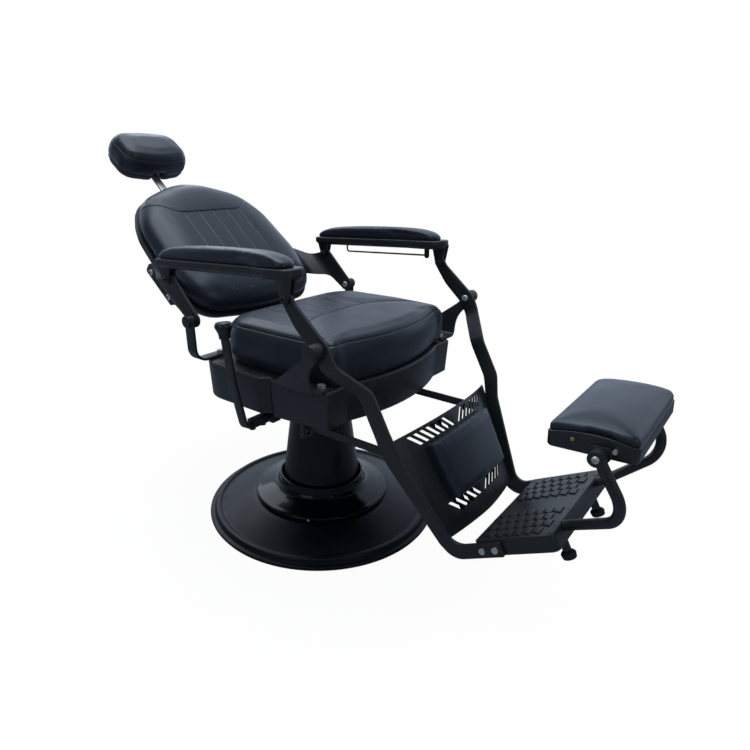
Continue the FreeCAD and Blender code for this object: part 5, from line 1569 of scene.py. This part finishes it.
@dataclass
class SeatFrame(Assembly):
    """Seat box, its cushion, the pivot brackets and the swivel plate.

    Attributes:
        channels: Places of the sewn channels across the seat.
        seam: Half of the seam in front of the channels.
        channel_rear: Rear end of the channels.
        rim: Level of the sewn rim round the top.
        floor: Top of the seat box.
    """

    channels: Tuple[float, ...] = (-0.104, -0.052, 0.0, 0.052, 0.104)
    seam: Tuple[Spot, ...] = ((0.05, -0.068), (0.09, -0.070), (0.13, -0.083), (0.165, -0.108), (0.19, -0.136),
                              (0.21, -0.17), (0.224, -0.21))
    channel_rear: float = 0.095
    rim: float = 0.588
    floor: float = 0.4942

    def build(self) -> None:
        """Make the seat."""
        self.soften(BOARD, Edge.BOX, "seat_box")
        self.soften(SATIN, Edge.PLATE, "swivel_plate", "front_bracket_left", "front_bracket_right",
                    "rear_bracket_left", "rear_bracket_right", "lock_bar_guides", "lever_bearing")
        self.bolt(UPRIGHT, STEEL, "bracket_bolts")
        self.bolt(ACROSS, STEEL, "pivot_bolts")
        self.bolt(UPRIGHT, SATIN, "swivel_bolts")
        front = self.seam[0][1]
        lines = (mirror_line(self.seam),) + tuple(((x, front), (x, self.channel_rear)) for x in self.channels)
        Upholstery("seat_cushion", Stand((0.0, 0.0, 0.0), 0.0), voxel=5 * MM, puff=2 * MM, fill=0.85,
                   lines=lines, rims=(self.rim,), floor=self.floor, crisp=1.0).build(self.tools)


@dataclass
class PumpLever(Assembly):
    """Bent lever with its knob that works the pump.

    Attributes:
        lean: Lean of its bolts about X in degrees.
    """

    lean: float = LEVER_TURN

    def build(self) -> None:
        """Make the lever."""
        self.soften(SATIN, Edge.PLATE, "lever_shaft", "lever_bar")
        self.soften(KNOB, Edge.KNOB, "lever_knob")
        a = math.radians(self.lean)
        self.bolt((0.0, math.sin(a), math.cos(a)), SATIN, "lever_bolts")


@dataclass
class Backrest(Assembly):
    """Back shell with its cushion and the wings that it turns on.

    Attributes:
        channels: Places of the sewn channels across the back.
        seam: Half of the seam above the channels.
        channel_low: Lower end of the channels.
        welt: Level of the welt round the cushion's rear.
        floor: Level of the cushion's rear face.
    """

    channels: Tuple[float, ...] = (-0.104, -0.052, 0.0, 0.052, 0.104)
    seam: Tuple[Spot, ...] = ((0.06, 0.362), (0.106, 0.362), (0.132, 0.377), (0.17, 0.41), (0.225, 0.43))
    channel_low: float = 0.075
    welt: float = -0.052
    floor: float = -0.068

    def build(self) -> None:
        """Make the back."""
        self.soften(SHELL_HIDE, Edge.SHELL, "back_shell")
        self.soften(SATIN, Edge.BAR, "wing_left", "wing_right")
        self.soften(SATIN, Edge.SHEET, "headrest_socket")
        self.bolt(ACROSS, STEEL, "wing_bolts")
        top = self.seam[0][1]
        lines = (mirror_line(self.seam),) + tuple(((x, top), (x, self.channel_low)) for x in self.channels)
        back = Stand(joint_place("recline"), BACK_TURN)
        Upholstery("back_cushion", back, voxel=5 * MM, puff=1.5 * MM, fill=0.85, lines=lines,
                   welts=(self.welt,), floor=self.floor, ease=40).build(self.tools)


@dataclass
class Headrest(Assembly):
    """Headrest cushion on its sliding bar.

    Attributes:
        rim: Level of the sewn rim in front.
        welt: Level of the welt at the rear.
    """

    rim: float = 0.028
    welt: float = -0.026

    def build(self) -> None:
        """Make the headrest."""
        self.soften(STEEL, Edge.WIRE, "headrest_bar", "headrest_pin")
        self.soften(SATIN, Edge.SHEET, "headrest_bracket")
        head = Stand(HEADREST_MIDDLE, HEADREST_TURN)
        Upholstery("headrest_cushion", head, voxel=4 * MM, puff=2 * MM, fill=0.9, rims=(self.rim,),
                   welts=(self.welt,), ease=10, swell=6 * MM, under=6 * MM, crisp=1.6).build(self.tools)


@dataclass
class Armrests(Assembly):
    """Armrest trays with their pads, and the wire trigger under the left one.

    Attributes:
        floor: Top of the trays.
    """

    floor: float = 0.0515

    def build(self) -> None:
        """Make both armrests."""
        self.soften(SATIN, Edge.TRAY, "armrest_tray_left", "armrest_tray_right")
        self.soften(SATIN, Edge.WIRE, "recline_trigger")
        self.bolt(ACROSS, SATIN, "arm_bolts_left", "arm_bolts_right")
        arm = Stand(joint_place("armrest_left_turn"), ARM_TURN)
        for node in ("armrest_pad_left", "armrest_pad_right"):
            Upholstery(node, arm, voxel=3.5 * MM, puff=1.5 * MM, fill=0.9, floor=self.floor, ease=12,
                       crown=9 * MM).build(self.tools)


@dataclass
class Legrest(Assembly):
    """Straps, slotted panel, calf pad, lock bars, tread plate and the tubes of the foot pad.

    Attributes:
        plate_top: Level of the tread plate's face in the leg's frame.
        row_places: Places of the tread rows on one side of the middle.
        bar_size: Size of a tread bar.
        bar_lean: Slant of a tread bar across its depth.
        bar_pitch: Distance between bars of a row.
        bar_start: Place of the first bar behind the border.
        bars_in_row: Bars in a full row.
        border: Place of the smooth border strip in front.
        border_size: Size of the border strip.
        screw_places: Places of the border's screws across the plate.
        screw_seat: Height of their seats above the plate.
        screw_size: Radius and height of their heads.
        calf_halves: Half widths of the calf pad below and above.
        calf_rise: How far its upper edge stands above its solid.
        calf_lift: How far its lower edge stays above the lower slots.
        calf_thick: Its thickness.
        calf_middle: Half width of the strip where its seat on the panel is read.
        calf_steps: Points across its first mesh.
    """

    plate_top: float = -0.496
    row_places: Tuple[float, ...] = (0.046, 0.077, 0.108, 0.139)
    bar_size: Point = (0.027, 0.0178, 0.003)
    bar_lean: float = 0.3
    bar_pitch: float = 0.0215
    bar_start: float = -0.0885
    bars_in_row: int = 7
    border: float = -0.2395
    border_size: Point = (0.312, 0.012, 0.0016)
    screw_places: Tuple[float, ...] = (-0.125, -0.05, 0.05, 0.125)
    screw_seat: float = 0.0014
    screw_size: Spot = (2.6 * MM, 0.8 * MM)
    calf_halves: Spot = (0.122, 0.136)
    calf_rise: float = 0.014
    calf_lift: float = 0.015
    calf_thick: float = 0.025
    calf_middle: float = 0.02
    calf_steps: int = 25

    BAR_LEVELS = ((-0.3, 0.0), (0.55, 0.0), (0.9, 0.05), (1.0, 0.14))
    BAR_SMOOTH_TO = 30.0
    PLATE_MERGE = 0.05 * MM
    PLATE_FLAT = math.radians(1.0)

    def build(self) -> None:
        """Make the legrest."""
        self.soften(SATIN, Edge.BAR, "leg_strap_left", "leg_strap_right")
        self.soften(SATIN, Edge.SHEET, "leg_panel", "lock_bar_lugs", "lock_bars", "foot_rods",
                    "pad_tube_left", "pad_tube_right")
        self.soften(STEEL, Edge.WIRE, "lock_bar_pins")
        self.soften(RUBBER, Edge.RUBBER, "rubber_feet")
        self.bolt(ACROSS, STEEL, "strap_bolts")
        self._tread_plate()
        calf = Stand(joint_place("leg_swing"), CALF_TURN)
        Upholstery("calf_pad", calf, voxel=4 * MM, puff=2 * MM, fill=0.8, ease=7,
                   form=self._calf_form(calf)).build(self.tools)

    def _calf_form(self, stand: Stand) -> bpy.types.Mesh:
        """First mesh of the calf pad, an even pad that follows the panel's bow.

        Args:
            stand: Local frame of the pad.

        Returns:
            The closed mesh.
        """
        solid = stand.inside(read_points(frame["nodes"]["calf_pad"].data))
        low = solid.min(axis=0)
        high = solid.max(axis=0)
        seat = solid[np.abs(solid[:, 0]) < self.calf_middle, 2].min()
        sag = seat - low[2]
        across = np.linspace(-1.0, 1.0, self.calf_steps)
        shape = bmesh.new()
        sheets = []
        for lift in (0.0, self.calf_thick):
            sheet = []
            for up in np.linspace(0.0, 1.0, self.calf_steps):
                half = self.calf_halves[0] + (self.calf_halves[1] - self.calf_halves[0]) * up
                x = across * half
                y = low[1] + self.calf_lift + (high[1] + self.calf_rise - low[1] - self.calf_lift) * up
                row = np.stack([x, np.full_like(x, y), seat - sag * (x / high[0]) ** 2 + lift], axis=1)
                sheet.append([shape.verts.new(p) for p in stand.outside(row)])
            sheets.append(sheet)
        rear, face = sheets
        last = self.calf_steps - 1
        for i in range(last):
            for j in range(last):
                for sheet in sheets:
                    shape.faces.new((sheet[i][j], sheet[i][j + 1], sheet[i + 1][j + 1], sheet[i + 1][j]))
            for j in (0, last):
                shape.faces.new((rear[i][j], rear[i + 1][j], face[i + 1][j], face[i][j]))
                shape.faces.new((rear[j][i], rear[j][i + 1], face[j][i + 1], face[j][i]))
        bmesh.ops.recalc_face_normals(shape, faces=shape.faces)
        return mesh_of(shape, "calf_form")

    def _tread_plate(self) -> None:
        """Make the tread plate: the casting with a plain face, and its bars, border and screws on it."""
        leg = Stand(joint_place("leg_swing"), LEG_TURN)
        mesh = merged_copy("footplate")
        inside = leg.inside(read_points(mesh))
        inside[:, 2] = np.minimum(inside[:, 2], self.plate_top)
        write_points(mesh, leg.outside(inside))
        plain = joined(mesh, "footplate_plain", self.PLATE_MERGE, self.PLATE_FLAT)
        self.settle(new_object("footplate_finished", plain), "footplate", SATIN, Edge.SHEET)
        bars = []
        for index, row in enumerate(self.row_places):
            shift = 0.5 * (index % 2)
            for k in range(self.bars_in_row - index % 2):
                y = self.bar_start - (k + shift) * self.bar_pitch
                for side in (-1.0, 1.0):
                    bars.append((side * row, y, self.plate_top))
        self._raise_bars("tread_bars", bars, self.bar_size, self.bar_lean, leg)
        self._raise_bars("tread_border", [(0.0, self.border, self.plate_top)], self.border_size, 0.0, leg)
        up = leg.matrix()[:, 2]
        heads = []
        for x in self.screw_places:
            seat = leg.outside(np.array([[x, self.border, self.plate_top + self.screw_seat]]))[0]
            heads.append(Head(seat, up, *self.screw_size))
        self.screws("border_screws", heads, SATIN, body_of_node("footplate"))

    def _raise_bars(self, name: str, places: Sequence[Point], size: Point, lean: float, leg: Stand) -> None:
        """Set raised bars on the tread plate.

        Args:
            name: Name of the piece.
            places: Middles of the bars' undersides in the leg's frame.
            size: Size of each bar.
            lean: Slant of a bar across its depth.
            leg: Local frame of the leg.
        """
        bar = new_object("tread_bar", self._bar_mesh(lean))
        ways = [np.array(UPRIGHT)] * len(places)
        guide = self.marks([np.array(p) for p in places], ways, [size] * len(places))
        piece = self.tools.heads.run(name, guide, {"Head": bar, "Material": SATIN.material()})
        bpy.data.objects.remove(bar)
        write_points(piece.data, leg.outside(read_points(piece.data)))
        smooth_faces(piece.data, self.BAR_SMOOTH_TO)
        dress(piece, SATIN)
        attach(piece, body_of_node("footplate"))
        LOG.info("raised %s: %d", name, len(places))

    @staticmethod
    def _bar_mesh(lean: float) -> bpy.types.Mesh:
        """Raised bar of unit size with a lean and eased upper edges.

        Args:
            lean: Slant of the bar across its depth.

        Returns:
            The closed mesh.
        """
        shape = bmesh.new()
        rings = []
        for level, inset in Legrest.BAR_LEVELS:
            half = 0.5 - inset
            corners = ((-half, -half), (half, -half), (half, half), (-half, half))
            rings.append([shape.verts.new((x + lean * y, y, level)) for x, y in corners])
        shape.faces.new(rings[0][::-1])
        shape.faces.new(rings[-1])
        bridge(shape, rings)
        return mesh_of(shape, "tread_bar")


@dataclass
class FootPad(Assembly):
    """Foot pad that tips on its tubes.

    Attributes:
        screw: Place of the brass screw in the tray's side, in the pad's frame.
        screw_size: Radius and height of its head.
    """

    screw: Point = (0.1498, 0.0508, 0.0142)
    screw_size: Spot = (3.9 * MM, 1.7 * MM)

    def build(self) -> None:
        """Make the foot pad."""
        stand = Stand(joint_place("foot_pad_tilt"), FOOT_PAD_TURN)
        self.soften(BOARD, Edge.BOARD, "foot_pad_tray")
        self.soften(SATIN, Edge.SHEET, "foot_pad_brackets")
        self.bolt(ACROSS, STEEL, "foot_pad_bolts")
        heads = []
        for side in (-1.0, 1.0):
            seat = stand.outside(np.array([[side * self.screw[0], self.screw[1], self.screw[2]]]))[0]
            heads.append(Head(seat, np.array([side, 0.0, 0.0]), *self.screw_size))
        self.screws("tray_screws", heads, BRASS, body_of_node("foot_pad_tray"))
        Upholstery("foot_pad_cushion", stand, voxel=4 * MM, puff=2 * MM, fill=0.85, ease=14,
                   crown=6 * MM).build(self.tools)


@dataclass(frozen=True)
class Lamp:
    """Soft square lamp aimed at the chair's middle.

    Attributes:
        name: Name of the lamp.
        place: Where it hangs.
        size: Length of its side.
        power: Its power in watts.
    """

    name: str
    place: Point
    size: float
    power: float

    COLOUR = (0.9, 0.95, 1.0)

    def build(self, target: Point) -> None:
        """Hang the lamp.

        Args:
            target: Point that it faces.
        """
        light = bpy.data.lights.new(self.name, "AREA")
        light.size = self.size
        light.energy = self.power
        light.color = self.COLOUR
        lamp = bpy.data.objects.new(self.name, light)
        lamp.location = self.place
        lamp.rotation_euler = (Vector(target) - Vector(self.place)).to_track_quat("-Z", "Y").to_euler()
        bpy.context.scene.collection.objects.link(lamp)


@dataclass
class Studio:
    """Camera, soft lights, pale floor and white surround.

    Attributes:
        focal: Focal length in pixels of the photograph.
        image: Side of the photograph in pixels.
        sensor: Width of the camera's sensor in millimetres.
        azimuth: Turn of the view about Z in degrees.
        elevation: Rise of the view in degrees.
        distance: Distance of the eye along the view.
        aside: Shift of the eye to the right.
        raised: Shift of the eye upwards.
        centre: Pixel that the view's axis meets.
        ambient: Level of the even light.
        backdrop: Direction of the bright backdrop in reflections.
        backdrop_levels: Its level away from that direction and in it.
        backdrop_span: Share of that direction at which it is brightest.
        cool: Colour of the even light.
        near_clip: Shortest distance that the camera sees.
        floor_reach: Radius of the floor.
        floor_sides: Sides of the floor.
        floor_rough: Roughness of the floor.
        floor_fade: Radii between which the floor turns white.
        floor_levels: Share of white at those radii.
        floor_paint: Colour of the floor.
        floor_mirrored: Colour of the floor in reflections.
        target: Point that the lamps face.
        lamps: The soft lamps.
    """

    focal: float = 574.2
    image: float = 750.0
    sensor: float = 36.0
    azimuth: float = -51.25
    elevation: float = 19.32
    distance: float = 1.745
    aside: float = 0.064
    raised: float = 0.399
    centre: Spot = (343.0, 368.9)
    ambient: float = 0.28
    backdrop: Point = (0.78, 0.626, 0.0)
    backdrop_levels: Spot = (0.17, 1.0)
    backdrop_span: float = 0.75
    cool: Colour = (0.73, 0.84, 1.0)
    near_clip: float = 0.05
    floor_reach: float = 8.0
    floor_sides: int = 96
    floor_rough: float = 0.9
    floor_fade: Spot = (0.4, 1.0)
    floor_levels: Spot = (0.96, 1.0)
    floor_paint: Colour = (0.86, 0.86, 0.86)
    floor_mirrored: Colour = (0.28, 0.31, 0.37)
    target: Point = (0.0, -0.1, 0.5)
    lamps: Tuple[Lamp, ...] = (
        Lamp("overhead_softbox", (-0.1, 0.2, 3.0), 2.0, 40.0),
        Lamp("front_softbox", (-0.6, -2.8, 1.9), 1.6, 8.0),
        Lamp("side_softbox", (-2.7, -0.1, 1.6), 1.4, 6.0),
        Lamp("rear_softbox", (0.9, 2.5, 2.3), 1.8, 18.0),
    )

    def build(self) -> None:
        """Set up the view, the lamps and the floor."""
        scene = bpy.context.scene
        scene.view_settings.view_transform = "Standard"
        self._camera(scene)
        self._surround(scene)
        self._floor()
        for lamp in self.lamps:
            lamp.build(self.target)

    def _camera(self, scene: bpy.types.Scene) -> None:
        """Place the camera where the photograph was taken.

        Args:
            scene: Scene to set up.
        """
        a = math.radians(self.azimuth)
        e = math.radians(self.elevation)
        back = Vector((math.sin(a) * math.cos(e), -math.cos(a) * math.cos(e), math.sin(e)))
        right = Vector((math.cos(a), math.sin(a), 0.0))
        up = back.cross(right)
        eye = back * self.distance + right * self.aside + up * self.raised
        data = bpy.data.cameras.new("photo_camera")
        data.sensor_width = self.sensor
        data.lens = self.focal / self.image * self.sensor
        data.shift_x = (self.image / 2 - self.centre[0]) / self.image
        data.shift_y = (self.centre[1] - self.image / 2) / self.image
        data.clip_start = self.near_clip
        camera = bpy.data.objects.new("photo_camera", data)
        axes = Matrix((right, up, back)).transposed()
        camera.matrix_world = Matrix.Translation(eye) @ axes.to_4x4()
        scene.collection.objects.link(camera)
        scene.camera = camera

    def _surround(self, scene: bpy.types.Scene) -> None:
        """White surround for the eye, brighter behind the chair in reflections, and an even ambient light.

        Args:
            scene: Scene to set up.
        """
        world = bpy.data.worlds.new("white_surround")
        scene.world = world
        world.use_nodes = True
        world.node_tree.nodes.clear()
        graph = Graph(world.node_tree)
        path = graph.add("ShaderNodeLightPath")
        seen = graph.math("MAXIMUM", path.outputs["Is Camera Ray"], path.outputs["Is Transmission Ray"])
        way = graph.add("ShaderNodeTexCoord").outputs["Generated"]
        behind = graph.add("ShaderNodeVectorMath", {0: way, 1: self.backdrop}, operation="DOT_PRODUCT")
        mirrored = graph.spread(behind.outputs["Value"], 0.0, self.backdrop_span, *self.backdrop_levels)
        glossy = graph.math("MULTIPLY", path.outputs["Is Glossy Ray"], mirrored)
        plain = graph.math("SUBTRACT", 1.0, path.outputs["Is Glossy Ray"])
        rest = graph.math("MULTIPLY", plain, self.ambient)
        level = graph.math("MAXIMUM", seen, graph.math("ADD", glossy, rest))
        colour = graph.tint(seen, (*self.cool, 1.0), (1.0, 1.0, 1.0, 1.0))
        sky = graph.add("ShaderNodeBackground", {"Color": colour, "Strength": level})
        end = graph.add("ShaderNodeOutputWorld")
        graph.join(sky.outputs[0], end.inputs["Surface"])

    def _floor(self) -> None:
        """Pale floor that keeps the chair's shadow and fades into the surround."""
        shape = bmesh.new()
        bmesh.ops.create_circle(shape, cap_ends=True, segments=self.floor_sides, radius=self.floor_reach)
        mesh = mesh_of(shape, "pale_floor")
        material = bpy.data.materials.new("pale_floor")
        material.use_nodes = True
        material.node_tree.nodes.clear()
        graph = Graph(material.node_tree)
        at = graph.add("ShaderNodeTexCoord").outputs["Object"]
        length = graph.add("ShaderNodeVectorMath", {0: at}, operation="LENGTH").outputs["Value"]
        fade = graph.spread(length, *self.floor_fade, *self.floor_levels)
        path = graph.add("ShaderNodeLightPath")
        share = graph.math("MULTIPLY", path.outputs["Is Camera Ray"], fade)
        glossy = path.outputs["Is Glossy Ray"]
        tone = graph.tint(glossy, (*self.floor_paint, 1.0), (*self.floor_mirrored, 1.0))
        paint = graph.add("ShaderNodeBsdfPrincipled", {"Base Color": tone, "Roughness": self.floor_rough})
        glow = graph.add("ShaderNodeEmission", {"Color": (1.0, 1.0, 1.0, 1.0), "Strength": 1.0})
        both = graph.add("ShaderNodeMixShader", {0: share, 1: paint.outputs[0], 2: glow.outputs[0]})
        end = graph.add("ShaderNodeOutputMaterial")
        graph.join(both.outputs[0], end.inputs["Surface"])
        mesh.materials.append(material)
        new_object("pale_floor", mesh)


def main() -> None:
    """Build the chair's sub-assemblies in order."""
    logging.basicConfig(level=logging.INFO, format="%(name)s: %(message)s")
    Studio().build()
    tools = Workshop()
    for assembly in (BaseColumn, SeatFrame, PumpLever, Backrest, Headrest, Armrests, Legrest, FootPad):
        assembly(tools).build()


if __name__ == "__main__":
    main()
